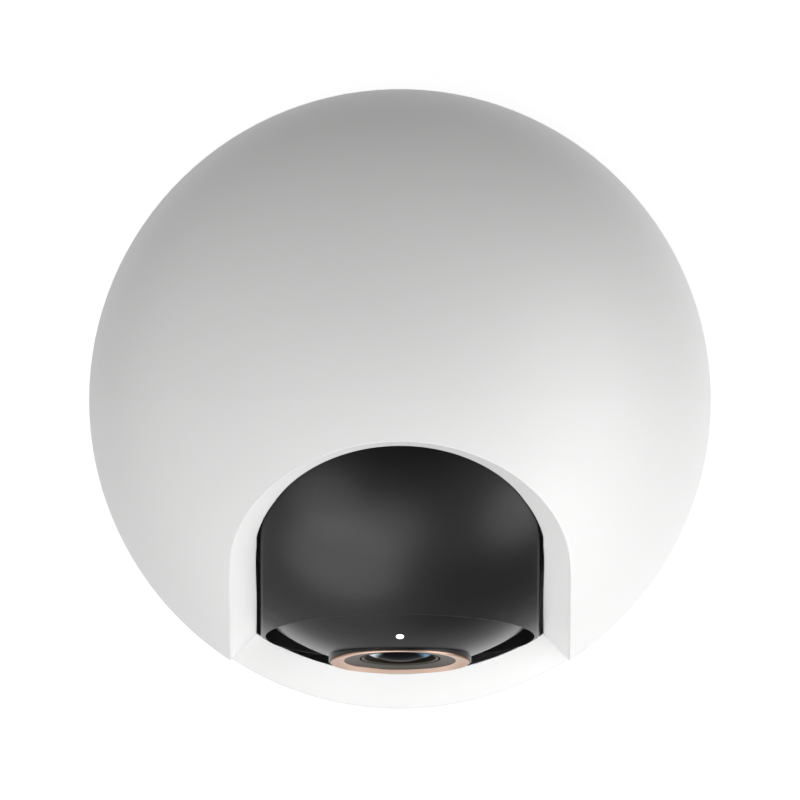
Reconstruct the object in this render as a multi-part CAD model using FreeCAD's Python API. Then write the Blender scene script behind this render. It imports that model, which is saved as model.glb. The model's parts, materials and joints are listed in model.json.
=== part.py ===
import FreeCAD, Part
import math
import os

# A pan-tilt security camera: a round base, a domed turret that pans on it, and a black drum-shaped
# head that tilts behind an arched window in the turret's front.
# Millimetres and degrees. +Z is up, the window and the lens look along -Y, and the origin is at the
# middle of the foot. Every head piece is drawn level in its own frame, whose origin is the middle of
# the tilt axis, and is then tipped up by rest_tilt.

Vector = FreeCAD.Vector

# Overall size
body_radius = 39.0
base_height = 38.0
shell_wall = 2.2
rest_tilt = 10.0
drum_clearance = 2.3
head_room = 5.0

# Arched window of the turret. The crown is its highest point, given by how far in front of the
# turret's axis it lies, and the bevel's apex is given from the middle of the tilt axis. Sizes that
# keep their share of the body are given by it, here and below. The lip reaches inward by the sill
# lap, except in front of the drum, where it ends at the sill rise. It is thinned at the crown by a
# ball that leaves the lip's inside at the crown spread, an angle from upright.
bevel_width = 3.75
arch_rise = body_radius * 0.3564
crown_forward = body_radius * 0.1313
sill_drop = body_radius * 0.5128
bevel_apex_forward = body_radius * 0.2821
bevel_apex_up = body_radius * 0.1667
flange_margin = 2.2
flange_behind = 1.9
sill_lap = 0.32
sill_rise = 6.0
crown_thinning = 1.3
crown_spread = 35.0
seam_lap = 2.0
seam_lap_thickness = 1.0

# Base
foot_thickness = 1.7
foot_show = 1.2
foot_inset = body_radius * 0.1282
foot_width = body_radius * 0.1795
deck_thickness = 2.2
plate_thickness = 2.2
base_chamfer = 1.0
post_radius = body_radius * 0.077
insert_bore_radius = 2.6
insert_wall = 2.4
insert_length = 8.0
sleeve_wall = 2.5

# Base screws and the small screws used elsewhere
base_screw_shank = 1.3
base_screw_head = 2.4
base_screw_head_height = 1.0
base_screw_length = 7.0
small_screw_shank = 1.0
small_screw_head = 2.0
small_screw_head_height = 1.1
low_head = 1.8
low_head_height = 0.9
head_screw_shank = 0.8
head_screw_head = 1.7
head_screw_head_height = 0.9
head_screw_length = 3.9

# Power board, USB socket and reset button at the back of the base
board_bottom = 6.0
board_thickness = 1.2
board_half_width = body_radius * 0.359
board_front_y = body_radius * 0.2308
board_rear_gap = 0.8
board_post_radius = 1.8
board_post_inset = 3.0
usb_half_width = 4.5
usb_half_height = 1.6
usb_wall = 0.33
usb_inset = 1.8
usb_recess_margin = 1.7
reset_x = body_radius * 0.3205
reset_rise = 3.2
reset_radius = 1.6
reset_inset = 1.2
reset_flange_radius = 2.5
reset_flange_thickness = 1.0
reset_travel = 0.4
switch_depth = 3.7
plunger_radius = 0.9
plunger_length = 0.5

# Speaker behind the sound holes. It takes its share of the body, or the room between the USB
# socket's recess and the deck where that is less.
speaker_share = 0.27
speaker_below_deck = 2.3
speaker_above_recess = 0.42
speaker_depth = 5.0
speaker_wall = 1.0
magnet_share = 0.714
throat_share = 0.6
pole_share = 0.467
magnet_thickness = 4.0
grille_hole_radius = 0.75
grille_share = 0.295
grille_rings = 3

# Pan drive
pan_module = body_radius / 52
pan_gear_teeth = 50
pan_pinion_teeth = 14
pan_gear_height = 2.4
pan_pinion_height = 2.0
hub_bore_radius = 6.0
hub_wall = 2.0
hub_step = 0.8
bush_wall = 1.55
bush_flange_margin = 6.25
bush_flange_height = 0.8
bush_drop = 2.2
retainer_thickness = 1.6
pan_motor_gap = 0.8
pan_motor_share = 0.525
pan_shaft_radius = 1.5
pan_shaft_grip = 2.8
pan_ear_radius = body_radius * 0.077
pan_boss_radius = 4.5
motor_lid = 1.0
stop_inset = 3.9
stop_pin_radius = 1.2
stop_pin_gap = 0.4

# Turret
seam_height = 0.6
floor_thickness = 2.5
floor_gap = 3.0
floor_edge_gap = 0.4
boss_radius = 3.0
boss_inset = 2.86
boss_height = 8.0
shell_screw_recess = 1.2
yoke_gap = 1.3
yoke_thickness = 2.5
yoke_foot_width = body_radius * 0.1538
yoke_foot_height = 2.0

# Tilt drive, and the pin that stops the head at both ends of its travel
tilt_module = body_radius / 65
tilt_gear_teeth = 40
tilt_pinion_teeth = 14
tilt_gear_height = 3.0
gear_standoff = 0.7
axle_radius = 3.0
axle_bore_radius = 1.8
tilt_bush_wall = 1.45
tilt_bush_flange = 1.0
tilt_motor_radius = body_radius * 0.2436
tilt_motor_gap = 0.95
tilt_shaft_radius = 1.2
tilt_ear_radius = 2.6
tilt_boss_radius = 4.4
tilt_down = 22.0
tilt_up = 35.0
tilt_stop_pitch = 7.3
tilt_stop_radius = 0.8
tilt_stop_wall = 1.6

# Main board on the right upright, and the radio's antenna
board_standoff = 2.0
main_board_thickness = 1.4
main_board_half_width = body_radius * 0.4103
main_board_room = 7.5
main_board_rise = body_radius * 0.141
main_board_hole = 3.0
board_screw_inset = 3.0
board_screw_rise = 3.5
board_boss_radius = 2.2
board_screw_length = 5.0
antenna_height = body_radius * 0.5128
antenna_half_width = body_radius * 0.3077
antenna_thickness = 0.75

# Head drum and its rear cover
drum_gap = 0.35
drum_wall = 1.8
drum_edge_round = 0.8
drum_split_angle = 11.0
face_hole_margin = 0.65
cover_gap = 0.2
cover_wall = 1.6
cover_overlap = 3.0
hub_disc_radius = 8.4

# Face in the front of the head. Depths are measured forward from the tilt axis along the lens.
face_radius = body_radius * 0.4269
face_groove = 0.2
face_curve_radius = body_radius * 0.7
face_curve_rise = 1.7
face_crown_inset = 0.5
face_wall = 1.3
face_inset = 7.5
ring_outer_radius = 8.7
ring_inner_radius = 7.0
ring_inset = 1.1
ring_slope_depth = 0.25
ring_thickness = 1.9
ring_lip_width = 0.28
ring_edge_round = 0.06
collar_wall = 0.2
collar_ledge = 1.3
bezel_bore_radius = 4.5
bezel_flange = 0.58
bezel_depth = 1.5
bezel_dish = 0.22
groove_radius = 4.95
groove_half_width = 0.12
groove_depth = 0.3
lens_radius = 4.3
lens_front_radius = 9.5
lens_inset = 0.25
lens_thickness = 1.45
status_light_offset = 11.8
status_light_radius = 0.5

# Camera module and the frame that holds it
carrier_ring_height = 2.0
carrier_thickness = 1.8
post_inset = 5.7
post_share = 0.7513
carrier_post_radius = 2.4
peg_radius = 1.6
peg_end = 4.6
tunnel_wall = 0.8
tunnel_floor = 1.2
barrel_radius = 6.0
holder_wall = 1.55
holder_half_width = 12.0
holder_half_height = 9.0
holder_depth = 4.9
sensor_board_front = body_radius * 0.2333
sensor_board_thickness = 1.2
slide_half_height = 5.2
filter_gap = 0.8
filter_thickness = 1.0
filter_radius = 2.3
filter_travel = 5.0
lamp_board_thickness = 0.8
lamp_board_gap = 0.9
lamp_radius = 1.4
lamp_height = 0.8
lamp_angles = (20, 60, 120, 160, 200, 240, 300, 340)
card_angle = 58.0
card_half_width = 6.8
card_case_depth = body_radius * 0.2949
card_slot_half_width = 5.8
card_slot_half_height = 0.7
card_shelf_thickness = 1.6

# Cables
harness_radius = 1.3
head_cable_radius = 1.0

# Clearances
fit = 0.03
running = 0.05
slip = 0.1

# Worked out from the driving sizes
inner_radius = body_radius - shell_wall
drum_radius = inner_radius - drum_clearance
base_top = base_height
floor_bottom = base_top + floor_gap
floor_top = floor_bottom + floor_thickness
tilt_axis_z = floor_top + head_room + drum_radius
overall_height = tilt_axis_z + body_radius
lip_inner_radius = drum_radius + drum_gap
arch_top = math.sqrt(body_radius ** 2 - crown_forward ** 2)
arch_spring = arch_top - arch_rise
base_bottom = foot_show
plate_top = base_bottom + plate_thickness
foot_outer_radius = body_radius - foot_inset
foot_inner_radius = foot_outer_radius - foot_width
post_pitch_radius = (foot_inner_radius + foot_outer_radius) / 2
insert_outer_radius = insert_bore_radius + insert_wall
deck_bottom = base_top - deck_thickness
inside_height = deck_bottom - plate_top
turret_bottom = base_top + seam_height
floor_radius = inner_radius - floor_edge_gap
stop_radius = floor_radius - stop_inset
hub_outer_radius = hub_bore_radius + hub_wall
hub_neck_radius = hub_outer_radius - hub_step
bush_outer_radius = hub_outer_radius + running + bush_wall
pan_gear_radius = pan_module * pan_gear_teeth / 2
pan_pinion_radius = pan_module * pan_pinion_teeth / 2
bush_flange_radius = pan_gear_radius - bush_flange_margin
gear_boss_radius = bush_flange_radius + 5 * slip
retainer_top = deck_bottom - bush_drop - slip
motor_x = pan_gear_radius + pan_pinion_radius
pan_motor_radius = inner_radius - motor_x - pan_motor_gap
pan_motor_height = inside_height * pan_motor_share
pan_gear_bottom = floor_bottom - pan_gear_height
pan_ear_offset = pan_motor_radius + small_screw_head + 1.5
face_hole_radius = face_radius + face_groove
drum_half_width = face_hole_radius + face_hole_margin
arch_half_width = drum_half_width + bevel_width
drum_inner_radius = drum_radius - drum_wall
drum_inner_half = drum_half_width - drum_wall
face_hollow_radius = drum_inner_half - cover_gap - face_wall
gear_inner_x = drum_half_width + gear_standoff
hub_boss_x = gear_inner_x + tilt_gear_height
yoke_inner_x = hub_boss_x + yoke_gap
yoke_outer_x = yoke_inner_x + yoke_thickness
yoke_foot_x = yoke_outer_x + yoke_foot_width
tilt_bush_radius = axle_radius + running + tilt_bush_wall
yoke_head_radius = tilt_stop_pitch + tilt_stop_radius + slip + tilt_stop_wall
tilt_centres = tilt_module * (tilt_gear_teeth + tilt_pinion_teeth) / 2
tilt_motor_z = tilt_axis_z - tilt_centres
tilt_motor_reach = math.sqrt(inner_radius ** 2 - tilt_motor_radius ** 2)
tilt_motor_length = tilt_motor_reach - tilt_motor_gap - yoke_outer_x
tilt_ear_offset = tilt_motor_radius + small_screw_head + 0.9
yoke_half_width = tilt_ear_offset + tilt_ear_radius + 1.0
board_top = board_bottom + board_thickness
main_board_x = yoke_outer_x + board_standoff
board_face_x = main_board_x + main_board_thickness
main_board_bottom = floor_top + main_board_room
board_screw_y = main_board_half_width - board_screw_inset
main_board_top = tilt_axis_z + main_board_rise
face_back_depth = drum_radius - face_inset
face_curve_depth = drum_radius - face_crown_inset - face_curve_radius
carrier_front_depth = face_back_depth - carrier_ring_height
carrier_back_depth = carrier_front_depth - carrier_thickness
ring_front_depth = drum_radius - ring_inset
ring_seat_depth = ring_front_depth - ring_thickness
collar_radius = ring_outer_radius + fit + collar_wall
collar_front_depth = ring_front_depth - 2 * slip
collar_back_depth = ring_seat_depth - collar_ledge
bezel_back_depth = ring_seat_depth - bezel_depth
lens_apex_depth = ring_front_depth - lens_inset
lens_back_depth = lens_apex_depth - lens_thickness

os.makedirs("parts", exist_ok=True)


def save(name, *shapes):
    """One node: a single solid, or a group of like solids that share a name."""
    shape = shapes[0] if len(shapes) == 1 else Part.makeCompound(list(shapes))
    solids = shape.Solids
    if not shape.isValid() or not solids or min(s.Volume for s in solids) <= 0:
        raise ValueError(name + " is not a sound solid")
    shape.exportStep("parts/" + name + ".step")
    print("%-20s solids %2d  volume %9.1f mm3" % (name, len(solids), shape.Volume))


AXES = {"x": Vector(1, 0, 0), "y": Vector(0, 1, 0), "z": Vector(0, 0, 1)}


def point_on(axis, along, at):
    """A point at a distance along an axis, with the other two coordinates in X, Y, Z order."""
    rest = list(at)
    rest.insert("xyz".index(axis), along)
    return Vector(*rest)


def cylinder(radius, start, end, at=(0, 0), axis="z"):
    return Part.makeCylinder(radius, end - start, point_on(axis, start, at), AXES[axis])


def tube(outer, inner, start, end, at=(0, 0), axis="z"):
    return cylinder(outer, start, end, at, axis).cut(cylinder(inner, start - 1, end + 1, at, axis))


def block(x0, x1, y0, y1, z0, z1):
    return Part.makeBox(x1 - x0, y1 - y0, z1 - z0, Vector(x0, y0, z0))


def joined(first, *others):
    for other in others:
        first = first.fuse(other)
    return first.removeSplitter()


def without(shape, *tools):
    for tool in tools:
        shape = shape.cut(tool)
    return shape


def closed_wire(start, steps, place):
    """A closed wire. Each step is a point to go straight to, or a mid point and an end point of an arc."""
    edges = []
    here = place(start)
    first = here
    for step in steps:
        if isinstance(step[0], tuple):
            mid = place(step[0])
            there = place(step[1])
            edges.append(Part.Arc(here, mid, there).toShape())
        else:
            there = place(step)
            edges.append(Part.LineSegment(here, there).toShape())
        here = there
    if here.distanceToPoint(first) > 1e-6:
        edges.append(Part.LineSegment(here, first).toShape())
    return Part.Wire(edges)


def turned_upright(start, *steps):
    """A solid of revolution about Z, from an outline in (radius, height)."""
    wire = closed_wire(start, steps, lambda p: Vector(p[0], 0, p[1]))
    return Part.Face(wire).revolve(Vector(0, 0, 0), AXES["z"], 360)


def turned_on_lens(start, *steps):
    """A solid of revolution about the lens axis, from an outline in (radius, depth)."""
    wire = closed_wire(start, steps, lambda p: Vector(p[0], -p[1], 0))
    return Part.Face(wire).revolve(Vector(0, 0, 0), AXES["y"], 360)


def screw(head_radius, head_height, shank_radius, length, seat, direction):
    """A pan-head screw: seat is the point under the head, direction is the way the shank goes in."""
    way = Vector(*direction)
    under = Vector(*seat)
    head = Part.makeCylinder(head_radius, head_height, under, way * -1)
    shank = Part.makeCylinder(shank_radius, length, under, way)
    slot_depth = head_height * 0.5
    slot = Part.makeBox(head_radius * 1.3, head_radius * 0.3, slot_depth)
    slot.translate(Vector(-head_radius * 0.65, -head_radius * 0.15, -head_height))
    turn = FreeCAD.Rotation(AXES["z"], way)
    for quarter in (0, 90):
        cross = slot.copy()
        cross.rotate(Vector(0, 0, 0), AXES["z"], quarter)
        cross.Placement = FreeCAD.Placement(under, turn).multiply(cross.Placement)
        head = head.cut(cross)
    return head.fuse(shank).removeSplitter()


def corners(half_x, half_y):
    return [(sx * half_x, sy * half_y) for sx in (-1, 1) for sy in (-1, 1)]


def cable(radius, points):
    """A cable along straight runs joined by tangent arcs."""
    stops = [Vector(*p) for p in points]
    edges = []
    here = stops[0]
    for before, corner, after in zip(stops, stops[1:], stops[2:]):
        back = (before - corner).normalize()
        on = (after - corner).normalize()
        half_turn = (math.pi - back.getAngle(on)) / 2
        shorter = min((before - corner).Length, (after - corner).Length)
        reach = 0.45 * shorter
        bend = reach / math.tan(half_turn)
        print("  cable bend radius %.1f mm" % bend)
        leave = corner + back * reach
        join = corner + on * reach
        centre = corner + (back + on).normalize() * math.hypot(bend, reach)
        middle = centre + (corner - centre).normalize() * bend
        edges.append(Part.LineSegment(here, leave).toShape())
        edges.append(Part.Arc(leave, middle, join).toShape())
        here = join
    edges.append(Part.LineSegment(here, stops[-1]).toShape())
    path = Part.Wire(edges)
    ring = Part.Wire(Part.makeCircle(radius, stops[0], stops[1] - stops[0]))
    swept = path.makePipeShell([ring], True, False)
    expected = math.pi * radius * radius * path.Length
    print("  cable volume is %.4f of section times length" % (swept.Volume / expected))
    return swept


PRESSURE_ANGLE = math.radians(20)
ADDENDUM = 0.8
DEDENDUM = 1.1
BACKLASH = 0.1
FLANK_POINTS = 5


def gear(module, teeth, height, first_tooth):
    """An involute spur gear about Z from height 0, with a tooth centred on the angle first_tooth."""
    pitch = module * teeth / 2
    base = pitch * math.cos(PRESSURE_ANGLE)
    tip = pitch + ADDENDUM * module
    root = pitch - DEDENDUM * module
    involute = math.tan(PRESSURE_ANGLE) - PRESSURE_ANGLE
    half_tooth = math.pi / (2 * teeth) - BACKLASH / (2 * pitch) + involute
    start = max(base, root)

    def flank_point(radius, middle, side):
        turn = math.acos(min(1.0, base / radius))
        angle = middle + side * (half_tooth - (math.tan(turn) - turn))
        return Vector(radius * math.cos(angle), radius * math.sin(angle), 0)

    def arc(radius, first, last):
        middle = (first + last) / 2
        ends = [Vector(radius * math.cos(a), radius * math.sin(a), 0) for a in (first, middle, last)]
        return Part.Arc(*ends).toShape()

    radii = [start + (tip - start) * i / (FLANK_POINTS - 1) for i in range(FLANK_POINTS)]
    tip_turn = math.acos(base / tip)
    tip_half = half_tooth - (math.tan(tip_turn) - tip_turn)
    start_turn = math.acos(min(1.0, base / start))
    root_half = half_tooth - (math.tan(start_turn) - start_turn)
    step = 2 * math.pi / teeth
    edges = []
    for tooth in range(teeth):
        middle = math.radians(first_tooth) + tooth * step
        rising = Part.BSplineCurve()
        rising.interpolate([flank_point(r, middle, -1) for r in radii])
        falling = Part.BSplineCurve()
        falling.interpolate([flank_point(r, middle, 1) for r in reversed(radii)])
        foot_in = Vector(root * math.cos(middle - root_half), root * math.sin(middle - root_half), 0)
        foot_out = Vector(root * math.cos(middle + root_half), root * math.sin(middle + root_half), 0)
        if root < start:
            edges.append(Part.LineSegment(foot_in, flank_point(start, middle, -1)).toShape())
        edges.append(rising.toShape())
        edges.append(arc(tip, middle - tip_half, middle + tip_half))
        edges.append(falling.toShape())
        if root < start:
            edges.append(Part.LineSegment(flank_point(start, middle, 1), foot_out).toShape())
        edges.append(arc(root, middle + root_half, middle + step - root_half))
    return Part.Face(Part.Wire(edges)).extrude(Vector(0, 0, height))


def sag(curve, radius):
    """How far a ball's surface falls away at a distance from its middle line."""
    return curve - math.sqrt(curve * curve - radius * radius)


def bullet(radius, bottom):
    """A round-topped cylinder: the body's form, from a given height up."""
    shoulder = math.sqrt(0.5) * radius
    return turned_upright(
        (0, bottom),
        (radius, bottom),
        (radius, tilt_axis_z),
        ((shoulder, tilt_axis_z + shoulder), (0, tilt_axis_z + radius)),
    )


# Base

def foot_ring():
    return tube(foot_outer_radius, foot_inner_radius, 0, foot_thickness)


def on_diagonals(radius):
    """Four points on a circle, halfway between the X and Y axes."""
    return corners(radius * math.sqrt(0.5), radius * math.sqrt(0.5))


def back_wall_y(x):
    """Where the inside of the base's back wall is, at a distance from the middle."""
    return math.sqrt(inner_radius ** 2 - x ** 2)


base_screws_at = on_diagonals(post_pitch_radius)
board_rear_y = back_wall_y(board_half_width) - board_rear_gap
board_posts_at = [
    (side * (board_half_width - board_post_inset), y)
    for side in (-1, 1)
    for y in (board_front_y + board_post_inset, board_rear_y - 2 * board_post_inset)
]


def base_plate():
    groove_top = foot_thickness + fit
    insert_top = base_bottom + insert_length
    plate = cylinder(inner_radius - slip, base_bottom, plate_top)
    sleeve = cylinder(insert_outer_radius + sleeve_wall, plate_top, insert_top + sleeve_wall)
    posts = [cylinder(board_post_radius, plate_top, board_bottom, at) for at in board_posts_at]
    body = joined(plate, sleeve, *posts)
    groove = tube(foot_outer_radius + slip, foot_inner_radius - slip, base_bottom - 1, groove_top)
    seat = cylinder(insert_outer_radius + fit, base_bottom - 1, insert_top)
    body = without(body, groove, seat)
    head_top = groove_top + base_screw_head_height
    for at in base_screws_at:
        body = body.cut(cylinder(base_screw_shank + slip, base_bottom - 1, plate_top + 1, at))
        body = body.cut(cylinder(base_screw_head + slip, base_bottom, head_top, at))
    return body


def base_plate_screws():
    seat_z = foot_thickness + fit + base_screw_head_height
    size = (base_screw_head, base_screw_head_height, base_screw_shank, base_screw_length)
    return [screw(*size, (x, y, seat_z), (0, 0, 1)) for x, y in base_screws_at]


def tripod_insert():
    """The brass thread for a tripod, with two grooves that key it in the plastic."""
    body = tube(insert_outer_radius, insert_bore_radius, base_bottom, base_bottom + insert_length)
    depth = insert_wall / 6
    for share in (0.25, 0.6):
        z = base_bottom + insert_length * share
        body = body.cut(tube(insert_outer_radius + 1, insert_outer_radius - depth, z, z + 2 * depth))
    return body


usb_z = board_top + usb_half_height
usb_recess_top = usb_z + usb_half_height + usb_recess_margin
speaker_top = deck_bottom - speaker_below_deck
speaker_room = speaker_top - usb_recess_top - speaker_above_recess
speaker_radius = min(body_radius * speaker_share, speaker_room / 2)
speaker_z = speaker_top - speaker_room / 2
magnet_radius = speaker_radius * magnet_share
grille_pitch = speaker_radius * grille_share
speaker_front_y = back_wall_y(speaker_radius) - 0.9
reset_z = board_top + reset_rise
button_flange_front_y = back_wall_y(reset_x + reset_flange_radius) - slip
button_back_y = button_flange_front_y - reset_flange_thickness
switch_front_y = button_back_y - reset_travel - running - plunger_length


def grille_points():
    """The middle of each sound hole: a centre and rings of six, twelve and so on."""
    points = [(0.0, 0.0)]
    for ring in range(1, grille_rings + 1):
        count = 6 * ring
        for i in range(count):
            turn = 2 * math.pi * i / count
            points.append((grille_pitch * ring * math.cos(turn), grille_pitch * ring * math.sin(turn)))
    return points


def rounded_slot(half_width, half_height, y0, y1, z):
    """A slot along Y with round ends."""
    straight = half_width - half_height
    middle = block(-straight, straight, y0, y1, z - half_height, z + half_height)
    ends = [cylinder(half_height, y0, y1, (x, z), "y") for x in (-straight, straight)]
    return joined(middle, *ends)


def base_shell():
    outer = cylinder(body_radius, base_bottom, base_top)
    foot_edge = [e for e in outer.Edges if abs(e.BoundBox.ZMax - base_bottom) < 1e-6]
    outer = outer.makeChamfer(base_chamfer, foot_edge)
    cavity = cylinder(inner_radius, base_bottom - 1, deck_bottom)
    body = outer.cut(cavity)
    posts = [cylinder(post_radius, plate_top, deck_bottom, at) for at in base_screws_at]
    stop = cylinder(stop_pin_radius, base_top, floor_bottom - stop_pin_gap, (0, stop_radius))
    body = joined(body, stop, *posts)
    pilot_top = plate_top + base_screw_length + 1
    for at in base_screws_at:
        body = body.cut(cylinder(base_screw_shank + fit, plate_top - 1, pilot_top, at))
    body = body.cut(cylinder(bush_outer_radius + fit, deck_bottom - 1, base_top + 1))
    body = body.cut(cylinder(pan_boss_radius + slip, deck_bottom - 1, base_top + 1, (motor_x, 0)))
    for y in (-pan_ear_offset, pan_ear_offset):
        body = body.cut(cylinder(small_screw_shank + fit, deck_bottom - 1, base_top + 1, (motor_x, y)))
    holes = [
        cylinder(grille_hole_radius, speaker_front_y, body_radius + 1, (x, speaker_z + z), "y")
        for x, z in grille_points()
    ]
    body = without(body, *holes)
    recess_width = usb_half_width + usb_recess_margin
    recess_height = usb_half_height + usb_recess_margin
    recess = rounded_slot(recess_width, recess_height, board_rear_y, body_radius + 1, usb_z)
    button_hole = cylinder(reset_radius + slip, button_back_y, body_radius + 1, (reset_x, reset_z), "y")
    return without(body, recess, button_hole)


def speaker_frame():
    back = speaker_front_y - speaker_depth
    at = (0, speaker_z)
    cup = cylinder(speaker_radius, back, speaker_front_y, at, "y")
    hollow = cylinder(speaker_radius - speaker_wall, back + speaker_wall, speaker_front_y + 1, at, "y")
    throat = cylinder(magnet_radius * throat_share, back - 1, speaker_front_y, at, "y")
    return without(cup, hollow, throat)


def speaker_magnet():
    back = speaker_front_y - speaker_depth
    plate = cylinder(magnet_radius, back - magnet_thickness, back, (0, speaker_z), "y")
    pole = cylinder(magnet_radius * pole_share, back, back + 1.6, (0, speaker_z), "y")
    return joined(plate, pole)


def speaker_cone():
    """A thin dished diaphragm with a domed dust cap, held at the frame's rim."""
    front = speaker_front_y - 0.6
    rim = speaker_radius - speaker_wall - fit
    edge = rim - 1.1
    cap = rim * 0.36
    curve = rim * 0.63
    top = front - 0.6
    half = top - sag(curve, cap / 2)
    foot = top - sag(curve, cap)
    thick = 0.4
    body = turned_on_lens(
        (0, -top),
        ((cap / 2, -half), (cap, -foot)),
        (edge, -front),
        (rim, -front),
        (rim, thick - front),
        (edge, thick - front),
        (cap, thick - foot),
        ((cap / 2, thick - half), (0, thick - top)),
    )
    body.translate(Vector(0, 0, speaker_z))
    return body


def speaker_gasket():
    """A foam ring between the flat speaker and the curved wall."""
    ring = tube(speaker_radius, speaker_radius - 1.2, speaker_front_y, body_radius, (0, speaker_z), "y")
    return ring.common(cylinder(inner_radius - running, base_bottom, deck_bottom))


connector_x = -6.0
connector_y = board_front_y + 5.0
connector_height = 3.0


def power_board():
    board = block(-board_half_width, board_half_width, board_front_y, board_rear_y, board_bottom, board_top)
    upright = [e for e in board.Edges if e.BoundBox.ZLength > board_thickness - 1e-6]
    board = board.makeFillet(2.0, upright)
    connector = block(connector_x - 3, connector_x + 3, connector_y - 2, connector_y + 2,
                      board_top, board_top + connector_height)
    regulator = block(2, 8, board_front_y + 3, board_front_y + 8, board_top, board_top + 1.6)
    coil = cylinder(2.6, board_top, board_top + 2.4, (connector_x, connector_y + 8))
    return joined(board, connector, regulator, coil)


def usb_socket():
    """A socket with round ends and a tongue, soldered to the board's back edge."""
    back = board_rear_y - 3
    mouth = body_radius - usb_inset
    outer = rounded_slot(usb_half_width, usb_half_height, back, mouth, usb_z)
    inner_size = (usb_half_width - usb_wall, usb_half_height - usb_wall)
    hollow = rounded_slot(*inner_size, back + 1, mouth + 1, usb_z)
    tongue_half = usb_half_width - 1.2
    tongue = block(-tongue_half, tongue_half, back + 1, mouth - 1, usb_z - 0.35, usb_z + 0.35)
    return joined(outer.cut(hollow), tongue)


def reset_switch():
    back = switch_front_y - switch_depth
    top = reset_z + 2 * plunger_radius
    body = block(reset_x - 3, reset_x + 1.4, back, switch_front_y, board_top, top)
    plunger_front = switch_front_y + plunger_length
    plunger = cylinder(plunger_radius, switch_front_y, plunger_front, (reset_x, reset_z), "y")
    return joined(body, plunger)


def reset_button():
    """A round cap with a flange behind the wall that keeps it in."""
    at = (reset_x, reset_z)
    cap = cylinder(reset_radius, button_back_y, body_radius - reset_inset - 0.5, at, "y")
    flange = cylinder(reset_flange_radius, button_back_y, button_flange_front_y, at, "y")
    return joined(cap, flange)


motor_ears = (-1, 1)


def pan_motor():
    at = (motor_x, 0)
    can = cylinder(pan_motor_radius, deck_bottom - pan_motor_height, deck_bottom, at)
    bar = block(motor_x - pan_ear_radius, motor_x + pan_ear_radius,
                -pan_ear_offset, pan_ear_offset, deck_bottom - motor_lid, deck_bottom)
    boss = cylinder(pan_boss_radius, deck_bottom, deck_bottom + deck_thickness - 0.6, at)
    body = joined(can, bar, boss)
    for side in motor_ears:
        ear_at = (motor_x, side * pan_ear_offset)
        body = joined(body, cylinder(pan_ear_radius, deck_bottom - motor_lid, deck_bottom, ear_at))
        body = body.cut(cylinder(small_screw_shank + slip, deck_bottom - 3, deck_bottom + 1, ear_at))
    groove_z = deck_bottom - pan_motor_height / 2
    body = body.cut(tube(pan_motor_radius + 1, pan_motor_radius - 0.3, groove_z, groove_z + 0.6, at))
    return body.cut(cylinder(pan_shaft_radius + running, deck_bottom - pan_shaft_grip - slip, base_top, at))


def pan_motor_screws():
    length = motor_lid + deck_thickness - 0.4
    return [
        screw(small_screw_head, small_screw_head_height, small_screw_shank, length,
              (motor_x, side * pan_ear_offset, deck_bottom - motor_lid), (0, 0, 1))
        for side in motor_ears
    ]


def pan_bush():
    flange_top = base_top + bush_flange_height
    barrel = tube(bush_outer_radius, hub_outer_radius + running, deck_bottom - bush_drop, flange_top)
    flange = tube(bush_flange_radius, hub_outer_radius + running, base_top, flange_top)
    return joined(barrel, flange)


# Pan drive

gear_screws_at = on_diagonals(gear_boss_radius + low_head + 8 * slip)


def pan_gear():
    """The wheel under the turret's floor, with sunk screw heads."""
    wheel = gear(pan_module, pan_gear_teeth, pan_gear_height, 0)
    wheel.translate(Vector(0, 0, pan_gear_bottom))
    below = pan_gear_bottom - 1
    wheel = wheel.cut(cylinder(gear_boss_radius + fit, below, floor_bottom + 1))
    for at in gear_screws_at:
        wheel = wheel.cut(cylinder(small_screw_shank + slip, below, floor_bottom + 1, at))
        wheel = wheel.cut(cylinder(low_head + slip, below, pan_gear_bottom + low_head_height + slip, at))
    return wheel


def pan_gear_screws():
    seat = pan_gear_bottom + low_head_height + slip
    length = floor_bottom - seat + floor_thickness - 0.9
    return [
        screw(low_head, low_head_height, small_screw_shank, length, (x, y, seat), (0, 0, 1))
        for x, y in gear_screws_at
    ]


def pan_pinion():
    """The pan motor's shaft and the pinion on it, with a gap between teeth facing the wheel."""
    half_pitch = 180.0 / pan_pinion_teeth
    bottom = pan_gear_bottom + slip
    wheel = gear(pan_module, pan_pinion_teeth, pan_pinion_height, 180 + half_pitch)
    wheel.translate(Vector(0, 0, bottom))
    shaft = cylinder(pan_shaft_radius, deck_bottom - pan_shaft_grip, bottom + pan_pinion_height)
    collar = cylinder(pan_shaft_radius + 1.1, base_top - 0.4, bottom)
    body = joined(wheel, shaft, collar)
    body.translate(Vector(motor_x, 0, 0))
    return body


# Turret

yoke_screws_at = corners((yoke_outer_x + yoke_foot_x) / 2, yoke_half_width - 2 * small_screw_head)
shell_screws_at = on_diagonals(inner_radius - boss_inset)


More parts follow.
